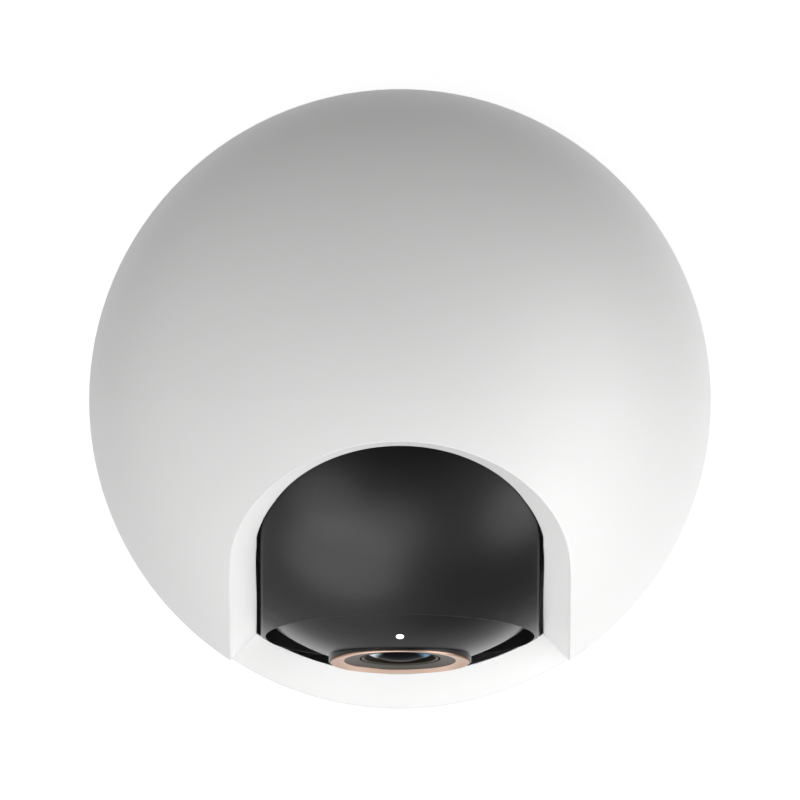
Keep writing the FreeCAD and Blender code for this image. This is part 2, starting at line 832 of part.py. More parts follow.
def turret_floor():
    """The round floor that carries everything above it, and the hollow hub that turns in the base."""
    disc = cylinder(floor_radius, floor_bottom, floor_top)
    shoulder = cylinder(gear_boss_radius, base_top + bush_flange_height + running, floor_bottom)
    hub = cylinder(hub_outer_radius, retainer_top, floor_bottom)
    neck = cylinder(hub_neck_radius, retainer_top - retainer_thickness - 1, floor_bottom)
    stop = cylinder(stop_pin_radius, base_top + stop_pin_gap, floor_bottom, (0, -stop_radius))
    body = joined(disc, shoulder, hub, neck, stop)
    body = body.cut(cylinder(hub_bore_radius, plate_top, floor_top + 1))
    for at in gear_screws_at:
        body = body.cut(cylinder(small_screw_shank + fit, floor_bottom - 1, floor_top - 0.6, at))
    recess_top = floor_bottom + shell_screw_recess
    for at in shell_screws_at:
        body = body.cut(cylinder(small_screw_shank + slip, floor_bottom - 1, floor_top + 1, at))
        body = body.cut(cylinder(small_screw_head + slip, floor_bottom - 1, recess_top, at))
    for at in yoke_screws_at:
        body = body.cut(cylinder(small_screw_shank + fit, floor_bottom + 0.5, floor_top + 1, at))
    return body


def hub_retainer():
    """A ring pressed on the hub's neck, under the bush, that keeps the turret from lifting off."""
    bottom = retainer_top - retainer_thickness
    return tube(bush_outer_radius + 1.6, hub_neck_radius + fit, bottom, retainer_top)


def shell_boss(x, y):
    """A screw boss inside the shell's wall, standing on the floor."""
    top = floor_top + boss_height
    reach = 1 + boss_radius / (inner_radius - boss_inset)
    boss = cylinder(boss_radius, floor_top, top, (x, y))
    rib = block(*sorted((x, x * reach)), *sorted((y, y * reach)), floor_top, top)
    body = joined(boss, rib).common(bullet(body_radius - shell_wall / 2, turret_bottom))
    return body.cut(cylinder(small_screw_shank + fit, floor_top - 1, top - 1, (x, y)))


def arch_outline(margin, y):
    """The window's outline as a flat wire facing the front, grown outwards by a margin."""
    half = arch_half_width + margin
    spring = tilt_axis_z + arch_spring
    bottom = tilt_axis_z - sill_drop - margin
    left = Vector(-half, y, spring)
    right = Vector(half, y, spring)
    low_left = Vector(-half, y, bottom)
    low_right = Vector(half, y, bottom)
    top = Vector(0, y, spring + arch_rise + margin)
    crown = Part.Arc(Part.Ellipse(right, top, Vector(0, y, spring)), 0, math.pi)
    sides = [(left, low_left), (low_left, low_right), (low_right, right)]
    return Part.Wire([crown.toShape()] + [Part.LineSegment(*ends).toShape() for ends in sides])


bevel_view_angle = math.radians(27)
bevel_near = body_radius * 0.1
bevel_far = body_radius * 1.0256
SIDE_POINTS = 5
CROWN_POINTS = 16
SILL_POINTS = 7


def on_body(x, z):
    """The point of the body's front surface behind (x, z), with z above the tilt axis."""
    above = max(z, 0.0)
    return Vector(x, -math.sqrt(body_radius ** 2 - x * x - above * above), z)


def bevel_cone():
    """The cut that opens the window: a cone from a point inside the turret through its outer edge."""
    apex = Vector(0, -bevel_apex_forward, bevel_apex_up)
    sight = Vector(0, -math.cos(bevel_view_angle), math.sin(bevel_view_angle))
    rise = [arch_spring * i / SIDE_POINTS for i in range(SIDE_POINTS)]
    right_side = [on_body(arch_half_width, z) for z in rise]
    crown = []
    for i in range(CROWN_POINTS + 1):
        turn = math.pi * i / CROWN_POINTS
        crown.append(on_body(arch_half_width * math.cos(turn), arch_spring + arch_rise * math.sin(turn)))
    left_side = [on_body(-arch_half_width, z) for z in reversed(rise)]
    upper = right_side + crown + left_side
    span = [arch_half_width * (2 * i / (SILL_POINTS - 1) - 1) for i in range(SILL_POINTS)]
    sill = [on_body(x, -sill_drop) for x in span]

    def section(distance):
        def cast(point):
            ray = point - apex
            return apex + ray * (distance / ray.dot(sight))

        over = Part.BSplineCurve()
        over.interpolate([cast(p) for p in upper])
        under = Part.BSplineCurve()
        under.interpolate([cast(p) for p in sill])
        down = Part.LineSegment(cast(upper[-1]), cast(sill[0]))
        up = Part.LineSegment(cast(sill[-1]), cast(upper[0]))
        return Part.Wire([over.toShape(), down.toShape(), under.toShape(), up.toShape()])

    cone = Part.makeLoft([section(bevel_near), section(bevel_far)], True, True)
    cone.translate(Vector(0, 0, tilt_axis_z))
    return cone


def turret_shell():
    return bullet(body_radius, turret_bottom).cut(bullet(inner_radius, turret_bottom - 1))


def shell_half(shape, side):
    """The part of a shape in front of the seam (side -1) or behind it (side 1)."""
    reach = body_radius + 5
    y0, y1 = (-reach, 0) if side < 0 else (0, reach)
    return shape.common(block(-reach, reach, y0, y1, base_top, overall_height + 5))


def front_shell():
    """The front half of the turret's shell, with the bevelled window and the lip behind it."""
    sill_top = tilt_axis_z - sill_drop + sill_rise
    drum_room = drum_half_width + drum_gap
    in_front = body_radius + 2
    window = Part.Face(arch_outline(flange_margin, -in_front))
    window = window.extrude(Vector(0, in_front - crown_forward + flange_behind, 0))
    sweep = bullet(lip_inner_radius, sill_top)
    sweep = sweep.common(block(-drum_room, drum_room, -in_front, in_front, sill_top, overall_height))
    crown_radius = lip_inner_radius + crown_thinning
    spread_height = lip_inner_radius * math.cos(math.radians(crown_spread))
    ball_rise = (crown_radius ** 2 - lip_inner_radius ** 2) / 2 / (crown_radius - spread_height)
    ball_middle = Vector(0, 0, tilt_axis_z + ball_rise)
    lip = bullet(body_radius, turret_bottom)
    lip = lip.cut(bullet(lip_inner_radius - sill_lap, turret_bottom - 1)).cut(sweep)
    lip = lip.cut(Part.makeSphere(crown_radius - ball_rise, ball_middle))
    lip = lip.common(window)
    body = shell_half(joined(turret_shell(), lip), -1)
    body = body.cut(bevel_cone())
    bosses = [shell_boss(x, y) for x, y in shell_screws_at if y < 0]
    return joined(body, *bosses)


def seam_tongue():
    """The rib on the rear shell that reaches under the front shell and lines the two up."""
    bottom = floor_top + slip
    core = bullet(inner_radius - fit - seam_lap_thickness, bottom - 1)
    reach = body_radius + 5
    root = bullet(inner_radius + shell_wall / 2, bottom).cut(core)
    root = root.common(block(-reach, reach, 0, seam_lap, bottom, overall_height))
    lap = bullet(inner_radius - fit, bottom).cut(core)
    lap = lap.common(block(-reach, reach, -seam_lap, 0.5, bottom, overall_height))
    return joined(root, lap)


def rear_shell():
    bosses = [shell_boss(x, y) for x, y in shell_screws_at if y > 0]
    return joined(shell_half(turret_shell(), 1), seam_tongue(), *bosses)


def shell_screws():
    seat = floor_bottom + shell_screw_recess
    size = (small_screw_head, small_screw_head_height, small_screw_shank, boss_height)
    return [screw(*size, (x, y, seat), (0, 0, 1)) for x, y in shell_screws_at]


def yoke_plate(side):
    """An upright that carries one end of the tilt axle. Side -1 is the drive side."""
    inner, outer = sorted((side * yoke_inner_x, side * yoke_outer_x))
    shoulder_z = tilt_motor_z + 4
    wide = block(inner, outer, -yoke_half_width, yoke_half_width, floor_top, shoulder_z)
    narrow = block(inner, outer, -yoke_head_radius, yoke_head_radius, shoulder_z, tilt_axis_z)
    head = cylinder(yoke_head_radius, inner, outer, (0, tilt_axis_z), "x")
    toe_inner, toe_outer = sorted((side * yoke_outer_x, side * yoke_foot_x))
    toe_top = floor_top + yoke_foot_height
    toe = block(toe_inner, toe_outer, -yoke_half_width, yoke_half_width, floor_top, toe_top)
    body = joined(wide, narrow, head, toe)
    body = body.cut(cylinder(tilt_bush_radius + fit, inner - 1, outer + 1, (0, tilt_axis_z), "x"))
    for x, y in yoke_screws_at:
        if x * side > 0:
            body = body.cut(cylinder(small_screw_shank + slip, floor_top - 1, floor_top + 5, (x, y)))
    return body


def yoke_left():
    """The upright on the drive side, with the tilt motor's seat."""
    body = yoke_plate(-1)
    span = (-yoke_outer_x - 1, -yoke_inner_x + 1)
    body = body.cut(cylinder(tilt_boss_radius + slip, *span, (0, tilt_motor_z), "x"))
    for side in motor_ears:
        ear_at = (side * tilt_ear_offset, tilt_motor_z)
        body = body.cut(cylinder(small_screw_shank + fit, *span, ear_at, "x"))
    return body


main_board_screws_at = [
    (side * board_screw_y, z)
    for side in (-1, 1)
    for z in (main_board_bottom + board_screw_rise, tilt_motor_z + 1)
]
stop_mid_angle = 90 - rest_tilt


def ring_point(radius, degrees):
    return (radius * math.cos(math.radians(degrees)), radius * math.sin(math.radians(degrees)))


def stop_slot():
    """The arc that the head's stop pin runs in, as wide as the pin and as long as its travel."""
    x0 = yoke_inner_x - 1
    x1 = yoke_outer_x + 1
    half = tilt_stop_radius + slip
    first = stop_mid_angle - tilt_up
    last = stop_mid_angle + tilt_down
    arc = tube(tilt_stop_pitch + half, tilt_stop_pitch - half, x0, x1, axis="x")
    sector = [Vector(x0, 0, 0)]
    steps = 6
    for i in range(steps + 1):
        y, z = ring_point(4 * tilt_stop_pitch, first + (last - first) * i / steps)
        sector.append(Vector(x0, y, z))
    wedge = Part.Face(Part.makePolygon(sector + sector[:1])).extrude(Vector(x1 - x0, 0, 0))
    ends = [cylinder(half, x0, x1, ring_point(tilt_stop_pitch, turn), "x") for turn in (first, last)]
    slot = joined(arc.common(wedge), *ends)
    slot.translate(Vector(0, 0, tilt_axis_z))
    return slot


def yoke_right():
    """The upright on the board side, with the slot for the head's stop pin."""
    body = yoke_plate(1)
    span = (yoke_outer_x, main_board_x)
    bosses = [cylinder(board_boss_radius, *span, at, "x") for at in main_board_screws_at]
    body = joined(body, *bosses)
    for at in main_board_screws_at:
        body = body.cut(cylinder(small_screw_shank + fit, yoke_inner_x + 0.5, main_board_x + 1, at, "x"))
    room = 2 * harness_radius + 1.4
    cable_way = block(yoke_inner_x - 1, yoke_foot_x + 1, -room, room, floor_top - 1, floor_top + room + 2)
    return without(body, cable_way, stop_slot())


def yoke_screws():
    seat = floor_top + yoke_foot_height
    length = yoke_foot_height + floor_thickness - 0.9
    size = (small_screw_head, small_screw_head_height, small_screw_shank, length)
    return [screw(*size, (x, y, seat), (0, 0, -1)) for x, y in yoke_screws_at]


def tilt_bush(side):
    """A flanged bush in the top of an upright."""
    flange_start = yoke_inner_x - tilt_bush_flange
    bore = axle_radius + running
    at = (0, tilt_axis_z)
    barrel = tube(tilt_bush_radius, bore, *sorted((side * flange_start, side * yoke_outer_x)), at, "x")
    flange_radius = tilt_bush_radius + tilt_bush_flange
    flange = tube(flange_radius, bore, *sorted((side * flange_start, side * yoke_inner_x)), at, "x")
    return joined(barrel, flange)


def tilt_motor():
    face = -yoke_outer_x
    at = (0, tilt_motor_z)
    can = cylinder(tilt_motor_radius, face - tilt_motor_length, face, at, "x")
    bar = block(face - motor_lid, face, -tilt_ear_offset, tilt_ear_offset,
                tilt_motor_z - tilt_ear_radius, tilt_motor_z + tilt_ear_radius)
    boss = cylinder(tilt_boss_radius, face, face + yoke_thickness - 0.4, at, "x")
    body = joined(can, bar, boss)
    for side in motor_ears:
        ear_at = (side * tilt_ear_offset, tilt_motor_z)
        body = joined(body, cylinder(tilt_ear_radius, face - motor_lid, face, ear_at, "x"))
        body = body.cut(cylinder(small_screw_shank + slip, face - 3, face + 1, ear_at, "x"))
    shaft_room = cylinder(tilt_shaft_radius + running, face - 2.5, face + yoke_thickness, at, "x")
    return body.cut(shaft_room)


def tilt_motor_screws():
    length = motor_lid + yoke_thickness - 0.3
    return [
        screw(low_head, low_head_height, small_screw_shank, length,
              (-yoke_outer_x - motor_lid, side * tilt_ear_offset, tilt_motor_z), (1, 0, 0))
        for side in motor_ears
    ]


def lying_gear(module, teeth, height, first_tooth, inner_x, z):
    """A gear on the drive side, about an axis along X, with a first tooth at an angle from Y."""
    wheel = gear(module, teeth, height, first_tooth)
    wheel.rotate(Vector(0, 0, 0), Vector(1, 1, 1), 120)
    wheel.translate(Vector(-inner_x - height, 0, z))
    return wheel


def tilt_pinion():
    """The tilt motor's shaft and the pinion on it, with a gap between teeth facing up at the wheel."""
    first_tooth = 90 + 180.0 / tilt_pinion_teeth
    thickness = tilt_gear_height - 2 * slip
    inner_x = gear_inner_x + slip
    wheel = lying_gear(tilt_module, tilt_pinion_teeth, thickness, first_tooth, inner_x, tilt_motor_z)
    shaft = cylinder(tilt_shaft_radius, -yoke_outer_x - 2.3, -inner_x, (0, tilt_motor_z), "x")
    return joined(wheel, shaft)


def main_board():
    x0 = main_board_x
    x1 = x0 + main_board_thickness
    board = block(x0, x1, -main_board_half_width, main_board_half_width, main_board_bottom, main_board_top)
    board = board.cut(cylinder(main_board_hole, x0 - 1, x1 + 1, (0, tilt_axis_z), "x"))
    for at in main_board_screws_at:
        board = board.cut(cylinder(small_screw_shank + slip, x0 - 1, x1 + 1, at, "x"))
    return board


head_plug_top = tilt_axis_z - 9.0
head_plug_height = 3.5
base_plug_z = main_board_bottom + 3.0
base_plug_above = 1.5
base_plug_below = 2.5
processor_above_plug = 0.8
processor_below_plug = 3.2
processor_bottom = base_plug_z + base_plug_above + processor_above_plug
processor_height = head_plug_top - head_plug_height - processor_below_plug - processor_bottom
processor_left = -main_board_half_width * 0.25
processor_right = main_board_half_width * 0.4375
processor_thickness = 1.0
plug_half_width = 3.5
head_plug_depth = 2.8
base_plug_depth = 3.2


def main_board_chips():
    """The processor, the memory, the radio under its can, and the two plugs that the cables go into."""
    x0 = board_face_x
    half = plug_half_width
    processor_top = processor_bottom + processor_height
    return [
        block(x0, x0 + processor_thickness, processor_left, processor_right,
              processor_bottom, processor_top),
        block(x0, x0 + head_plug_depth, -half, half, head_plug_top - head_plug_height, head_plug_top),
        block(x0, x0 + base_plug_depth, -half, half, base_plug_z - base_plug_below,
              base_plug_z + base_plug_above),
        block(x0, x0 + 1.2, -board_screw_y + 2, processor_left - 1,
              processor_bottom + 2, processor_top - 2),
        block(x0, x0 + 1.6, half + 2.5, board_screw_y, tilt_axis_z - 9, tilt_axis_z + 3),
    ]


def heat_spreader():
    """A finned plate on the processor."""
    x0 = board_face_x + processor_thickness
    base = 0.8
    fin = 1.8
    top = processor_bottom + processor_height
    body = block(x0, x0 + base, processor_left, processor_right, processor_bottom, top)
    fins = 5
    pitch = (processor_height - base) / (fins - 1)
    for i in range(fins):
        z = processor_bottom + i * pitch
        rib = block(x0 + base, x0 + base + fin, processor_left, processor_right, z, z + base)
        body = joined(body, rib)
    return body


def main_board_screws():
    return [
        screw(low_head, low_head_height, small_screw_shank, board_screw_length,
              (board_face_x, y, z), (-1, 0, 0))
        for y, z in main_board_screws_at
    ]


def wifi_antenna():
    """A thin foil antenna on its carrier, stuck to the inside of the rear shell."""
    top = tilt_axis_z - 5.0
    bottom = top - antenna_height
    skin = tube(inner_radius - running, inner_radius - running - antenna_thickness, bottom, top)
    return skin.common(block(-antenna_half_width, antenna_half_width, 0, body_radius, bottom, top))


# Cables inside, each cut where the pieces that carry it turn against each other

harness_join_z = deck_bottom - 0.8
turret_harness_z = floor_top + 2.2
cable_join_x = yoke_outer_x + 0.4
sensor_plug_y = -5.0
sensor_plug_x = 7.0


def base_harness():
    start = board_top + connector_height
    rise = harness_join_z - start
    return cable(harness_radius, [
        (connector_x, connector_y, start),
        (connector_x, connector_y, start + rise * 0.32),
        (0, 0, start + rise * 0.565),
        (0, 0, harness_join_z),
    ])


def turret_harness():
    plug_x = board_face_x + base_plug_depth / 2
    return cable(harness_radius, [
        (0, 0, harness_join_z),
        (0, 0, turret_harness_z),
        (plug_x, 0, turret_harness_z),
        (plug_x, 0, base_plug_z - base_plug_below),
    ])


def head_cable():
    return cable(head_cable_radius, [
        (sensor_plug_x, sensor_plug_y, 0),
        (sensor_plug_x, 0, 0),
        (cable_join_x, 0, 0),
    ])


def board_cable():
    turn_x = board_face_x + head_plug_depth / 2
    return cable(head_cable_radius, [
        (cable_join_x, 0, tilt_axis_z),
        (turn_x, 0, tilt_axis_z),
        (turn_x, 0, head_plug_top),
    ])


# Head, drawn level about the tilt axis with the lens along -Y

cover_radius = drum_inner_radius - cover_gap
cover_half_width = drum_inner_half - cover_gap
carrier_boss_radius = head_screw_shank + 1.1
carrier_screws_at = [
    ring_point(face_hole_radius + carrier_boss_radius + running, turn) for turn in (76, 104, 256, 284)
]
carrier_radius = math.sqrt(drum_inner_radius ** 2 - carrier_front_depth ** 2) - 0.45
post_x = drum_inner_half - post_inset
post_z = carrier_radius * post_share
posts_at = corners(post_x, post_z)
gear_bolts_radius = axle_radius + fit + head_screw_head + 9 * slip
gear_bolts_at = [ring_point(gear_bolts_radius, turn) for turn in (30, 150, 270)]


def zone(radius, half_width):
    """A ball cut off flat on both sides."""
    return Part.makeSphere(radius).common(block(-half_width, half_width, -radius, radius, -radius, radius))


def split_block(ahead):
    """Everything in front of the drum's split plane, moved forward by a distance."""
    size = drum_radius * 2
    front = block(-size, size, -size, -ahead, -size, size)
    front.rotate(Vector(0, 0, 0), AXES["x"], -drum_split_angle)
    return front


def head_shroud():
    """The black drum, with hub discs, hollow axles, the stop pin and the bosses for the carrier."""
    drum = zone(drum_radius, drum_half_width)
    rims = [e for e in drum.Edges if e.BoundBox.XLength < 1e-6]
    drum = drum.makeFillet(drum_edge_round, rims)
    drum = drum.cut(zone(drum_inner_radius, drum_inner_half))
    drum = drum.common(split_block(0))
    drum = drum.cut(cylinder(face_hole_radius, -drum_radius - 1, -face_back_depth, axis="y"))
    solids = [drum]
    for side in (-1, 1):
        boss_end = gear_inner_x if side < 0 else hub_boss_x
        start = side * drum_inner_half
        solids.append(cylinder(hub_disc_radius, *sorted((start, side * boss_end)), axis="x"))
        solids.append(cylinder(axle_radius, *sorted((start, side * (yoke_outer_x - 2 * slip))), axis="x"))
    stop_at = ring_point(tilt_stop_pitch, 90)
    solids.append(cylinder(tilt_stop_radius, drum_inner_half, yoke_outer_x - 5 * slip, stop_at, "x"))
    cavity = zone(drum_inner_radius + drum_wall / 2, drum_inner_half + drum_wall / 2)
    for at in carrier_screws_at:
        boss = cylinder(carrier_boss_radius, -drum_radius, -carrier_front_depth - running, at, "y")
        solids.append(boss.common(cavity))
    body = joined(*solids)
    body = body.cut(cylinder(axle_bore_radius, drum_inner_half - 1, yoke_outer_x + 1, axis="x"))
    pilot = head_screw_shank + fit
    for at in gear_bolts_at:
        body = body.cut(cylinder(pilot, -gear_inner_x - 1, -drum_inner_half - 0.3, at, "x"))
    pilot_end = carrier_back_depth + head_screw_length + slip
    for at in carrier_screws_at:
        body = body.cut(cylinder(pilot, -pilot_end, -carrier_front_depth + 1, at, "y"))
    return body


def tilt_gear():
    """The wheel on the drive side of the drum. Its first tooth points straight down when the head rests."""
    wheel = lying_gear(tilt_module, tilt_gear_teeth, tilt_gear_height, 270 + rest_tilt, gear_inner_x, 0)
    outside = -hub_boss_x - 1
    inside = -gear_inner_x + 1
    wheel = wheel.cut(cylinder(axle_radius + fit, outside, inside, axis="x"))
    for at in gear_bolts_at:
        wheel = wheel.cut(cylinder(head_screw_shank + slip, outside, inside, at, "x"))
        sunk = -hub_boss_x + head_screw_head_height + slip
        wheel = wheel.cut(cylinder(head_screw_head + slip, outside, sunk, at, "x"))
    return wheel


def head_rear_cover():
    """The rear tub, whose front edge slides inside the drum, with a tunnel for each screw."""
    inside = zone(cover_radius - cover_wall, cover_half_width - cover_wall)
    tub = zone(cover_radius, cover_half_width).cut(inside)
    tub = tub.cut(split_block(cover_overlap))
    within = zone(cover_radius - cover_wall / 2, cover_half_width - cover_wall / 2)
    start = peg_end + running
    bore = head_screw_head + tunnel_wall - 0.1
    outer = bore + tunnel_wall
    tunnels = [cylinder(outer, start, drum_radius, at, "y").common(within) for at in posts_at]
    tub = joined(tub, *tunnels)
    for at in posts_at:
        tub = tub.cut(cylinder(bore, start + tunnel_floor, drum_radius + 1, at, "y"))
        tub = tub.cut(cylinder(head_screw_shank + slip, start - 1, drum_radius, at, "y"))
    return tub.cut(cylinder(axle_bore_radius, 5, drum_half_width, axis="x"))


def head_screws():
    """Eleven screws of one size: four in the rear cover, four in the carrier and three in the gear."""
    cover_seat = peg_end + running + tunnel_floor
    gear_seat = -hub_boss_x + head_screw_head_height + slip
    size = (head_screw_head, head_screw_head_height, head_screw_shank, head_screw_length)
    in_cover = [screw(*size, (x, cover_seat, z), (0, -1, 0)) for x, z in posts_at]
    in_carrier = [screw(*size, (x, -carrier_back_depth, z), (0, -1, 0)) for x, z in carrier_screws_at]
    in_gear = [screw(*size, (gear_seat, y, z), (1, 0, 0)) for y, z in gear_bolts_at]
    return in_cover + in_carrier + in_gear


neck_radius = barrel_radius + running + holder_wall
neck_seat_radius = neck_radius + 3 * slip


def head_carrier():
    """The inner frame: a plate screwed to the drum from behind, four posts, and a ring under the face."""
    plate = cylinder(carrier_radius, -carrier_front_depth, -carrier_back_depth, axis="y")
    half = drum_inner_half - cover_gap
    plate = plate.common(block(-half, half, -drum_radius, 0, -drum_radius, drum_radius))
    ring_span = (-face_back_depth, -carrier_front_depth)
    outer_ring = tube(half - slip, face_hollow_radius, *ring_span, axis="y")
    inner_ring = tube(neck_seat_radius + 1.4, neck_seat_radius, *ring_span, axis="y")
    body = joined(plate, outer_ring, inner_ring)
    body = body.cut(cylinder(neck_seat_radius, -face_back_depth - 1, -carrier_back_depth + 1, axis="y"))
    for at in posts_at:
        post = cylinder(carrier_post_radius, -carrier_back_depth, -sensor_board_front, at, "y")
        peg = cylinder(peg_radius, -sensor_board_front, peg_end, at, "y")
        body = joined(body, post, peg)
        pilot_depth = head_screw_length + 5 * slip
        body = body.cut(cylinder(head_screw_shank + fit, peg_end - pilot_depth, peg_end + 1, at, "y"))
    through = (-carrier_front_depth - 1, -carrier_back_depth + 1)
    for at in carrier_screws_at:
        body = body.cut(cylinder(head_screw_shank + slip, *through, at, "y"))
    return body


def face_ball(radius):
    """A ball round the middle of the face's curve, which lies a little above the lens axis."""
    return Part.makeSphere(radius, Vector(0, -face_curve_depth, face_curve_rise))


def face_form():
    """The face's outer form: a round plug with a domed front, and a collar for the ring."""
    plug = cylinder(face_radius, -drum_radius, -face_back_depth, axis="y")
    collar = cylinder(collar_radius, -collar_front_depth, -face_back_depth, axis="y")
    return joined(plug.common(face_ball(face_curve_radius)), collar)


def face_plate():
    """The glossy round face: a domed plate, hollow behind, with the ring's seat in its middle."""
    beyond = -drum_radius - 1
    behind = 1 - face_back_depth
    hollow = cylinder(face_hollow_radius, beyond, behind, axis="y")
    hollow = hollow.common(face_ball(face_curve_radius - face_wall))
    hollow = hollow.cut(cylinder(collar_radius + slip, beyond, -collar_back_depth, axis="y"))
    body = face_form().cut(hollow)
    body = body.cut(cylinder(ring_outer_radius + fit, beyond, -ring_seat_depth, axis="y"))
    body = body.cut(cylinder(ring_inner_radius + bezel_flange + fit, beyond, behind, axis="y"))
    light_at = (0, status_light_offset)
    return body.cut(cylinder(status_light_radius + fit, beyond, behind, light_at, "y"))


def status_light():
    """A light pipe that ends flush in the face, straight above the lens."""
    stem_back = face_back_depth + lamp_board_thickness
    stem = cylinder(status_light_radius, -drum_radius, -stem_back, (0, status_light_offset), "y")
    return stem.common(face_form())


def lens_ring():
    """The copper trim round the lens: a shallow funnel with a thin bright lip."""
    return turned_on_lens(
        (ring_inner_radius, ring_seat_depth),
        (ring_outer_radius, ring_seat_depth),
        (ring_outer_radius, ring_front_depth - ring_edge_round),
        (ring_outer_radius - ring_edge_round, ring_front_depth),
        (ring_outer_radius - ring_lip_width, ring_front_depth),
        (ring_inner_radius, ring_front_depth - ring_slope_depth),
    )


def lens_bezel():
    """The dark dished tube between the copper ring and the glass."""
    outer = ring_inner_radius - fit
    flange = ring_inner_radius + bezel_flange
    front = ring_front_depth - ring_slope_depth - running
    dish = front - bezel_dish
    step = ring_seat_depth - running
    return turned_on_lens(
        (bezel_bore_radius, bezel_back_depth),
        (flange, bezel_back_depth),
        (flange, step),
        (outer, step),
        (outer, front),
        (groove_radius + groove_half_width, dish),
        (groove_radius + groove_half_width, dish - groove_depth),
        (groove_radius - groove_half_width, dish - groove_depth),
        (groove_radius - groove_half_width, dish),
        (bezel_bore_radius, dish - slip),
    )


def lens_glass():
    """The domed front element."""
    half = lens_radius / 2
    return turned_on_lens(
        (0, lens_back_depth),
        (lens_radius, lens_back_depth),
        (lens_radius, lens_apex_depth - sag(lens_front_radius, lens_radius)),
        ((half, lens_apex_depth - sag(lens_front_radius, half)), (0, lens_apex_depth)),
    )


barrel_front_depth = bezel_back_depth - 0.5
holder_front = sensor_board_front + holder_depth
barrel_back_depth = holder_front + 2.0


def lens_barrel():
    """The threaded barrel that holds the rest of the optics behind the front glass."""
    nose = cylinder(bezel_bore_radius - 2 * slip, -lens_back_depth, -barrel_front_depth, axis="y")
    body = joined(nose, cylinder(barrel_radius, -barrel_front_depth, -barrel_back_depth, axis="y"))
    half = 0.25
    for turn in range(5):
        y = 1.0 + turn - barrel_front_depth
        body = body.cut(tube(barrel_radius + 1, barrel_radius - half, y - half, y + half, axis="y"))
    return body


filter_back = sensor_board_front + 1.4 + filter_gap
filter_front = filter_back + filter_thickness
slide_reach = filter_travel + 2 * filter_radius - 0.6


def lens_holder():
    """The block on the sensor board, with the room for the filter slide and the neck for the barrel."""
    foot = block(-holder_half_width, holder_half_width, -holder_front, -sensor_board_front,
                 -holder_half_height, holder_half_height)
    body = joined(foot, cylinder(neck_radius, -carrier_back_depth - 0.8, -holder_front, axis="y"))
    room_half = slide_reach + 1.8
    room = block(-room_half, room_half, -filter_front - slip, -sensor_board_front + 1,
                 -slide_half_height, slide_half_height)
    light_way = cylinder(2 * filter_radius, -barrel_back_depth - 1, -filter_back, axis="y")
    thread = cylinder(barrel_radius + running, -carrier_back_depth - 2, -barrel_back_depth + slip, axis="y")
    return without(body, room, light_way, thread)


def filter_slide():
    """The frame that swaps the infrared filter for clear glass by sliding sideways, and both glasses."""
    half = slide_half_height - slip
    pieces = [block(-slide_reach, filter_radius + 1.7, -filter_front, -filter_back, -half, half)]
    for x in (0.0, -filter_travel):
        window = cylinder(filter_radius, -filter_front - 1, -filter_back + 1, (x, 0), "y")
        pieces[0] = pieces[0].cut(window)
        pieces.append(cylinder(filter_radius - fit, -filter_front + 0.3, -filter_back, (x, 0), "y"))
    return pieces


def filter_coil():
    """The little electromagnet that drives the filter slide."""
    top = holder_half_height + 3
    return block(2, 10, -holder_front + 0.4, -sensor_board_front - 0.5, holder_half_height, top)


def sensor_board():
    half_x = post_x + peg_radius + 0.9
    half_z = post_z + peg_radius + 1.1
    back = sensor_board_front - sensor_board_thickness
    board = block(-half_x, half_x, -sensor_board_front, -back, -half_z, half_z)
    for at in posts_at:
        board = board.cut(cylinder(peg_radius + slip, -sensor_board_front - 1, -back + 1, at, "y"))
    plug = block(sensor_plug_x - 3, sensor_plug_x + 3, -back, sensor_plug_y, -3, 3)
    return joined(board, plug)


def image_sensor():
    front = sensor_board_front
    package = block(-3.8, 3.8, -front - 1.2, -front, -3.3, 3.3)
    window = block(-3.0, 3.0, -front - 1.4, -front - 1.2, -2.5, 2.5)
    return joined(package, window)


lamp_board_outer = face_hollow_radius - lamp_board_gap
lamp_board_inner = neck_seat_radius + 1.0
lamp_pitch = (lamp_board_outer + lamp_board_inner) / 2


def lamp_board():
    """The ring-shaped board for the infrared lamps, seated on the carrier's inner ring."""
    front = face_back_depth + lamp_board_thickness
    return tube(lamp_board_outer, lamp_board_inner, -front, -face_back_depth, axis="y")


def infrared_lamps():
    front = face_back_depth + lamp_board_thickness
    return [
        cylinder(lamp_radius, -front - lamp_height, -front, ring_point(lamp_pitch, turn), "y")
        for turn in lamp_angles
    ]


def tipped_down(shape):
    """Turns a piece drawn along -Y down to the card slot's angle under the lens."""
    shape.rotate(Vector(0, 0, 0), AXES["x"], card_angle)
    return shape


card_mouth = math.sqrt(drum_inner_radius ** 2 - card_half_width ** 2) - 2 * slip
card_back = card_mouth - card_case_depth


def head_with_card_slot():
    """The shroud, with the memory card's slot under the lens and the shelf that holds its socket."""
    shroud = head_shroud()
    half = card_half_width + 1.0
    shelf_bottom = -card_slot_half_height - 0.3
    shelf_front = math.sqrt(drum_inner_radius ** 2 - half ** 2) + drum_wall / 2
    shelf_under = shelf_bottom - card_shelf_thickness
    shelf = block(-half, half, -shelf_front, -card_back - 2, shelf_under, shelf_bottom)
    slot = block(-card_slot_half_width, card_slot_half_width, -drum_radius - 1, -card_mouth,
                 -card_slot_half_height, card_slot_half_height)
    return joined(shroud, tipped_down(shelf)).cut(tipped_down(slot))


def card_socket():
    bottom = -card_slot_half_height - 0.3
    top = card_slot_half_height + 0.4
    case = block(-card_half_width, card_half_width, -card_mouth, -card_back, bottom, top)
    throat = block(-card_slot_half_width, card_slot_half_width, -card_mouth - 1, -card_back - 1,
                   -card_slot_half_height + slip, card_slot_half_height - slip)
    return tipped_down(case.cut(throat))


def placed(shape):
    """Moves a head piece from its own frame to where it rests in the turret."""
    shape.rotate(Vector(0, 0, 0), AXES["x"], -rest_tilt)
    shape.translate(Vector(0, 0, tilt_axis_z))
    return shape


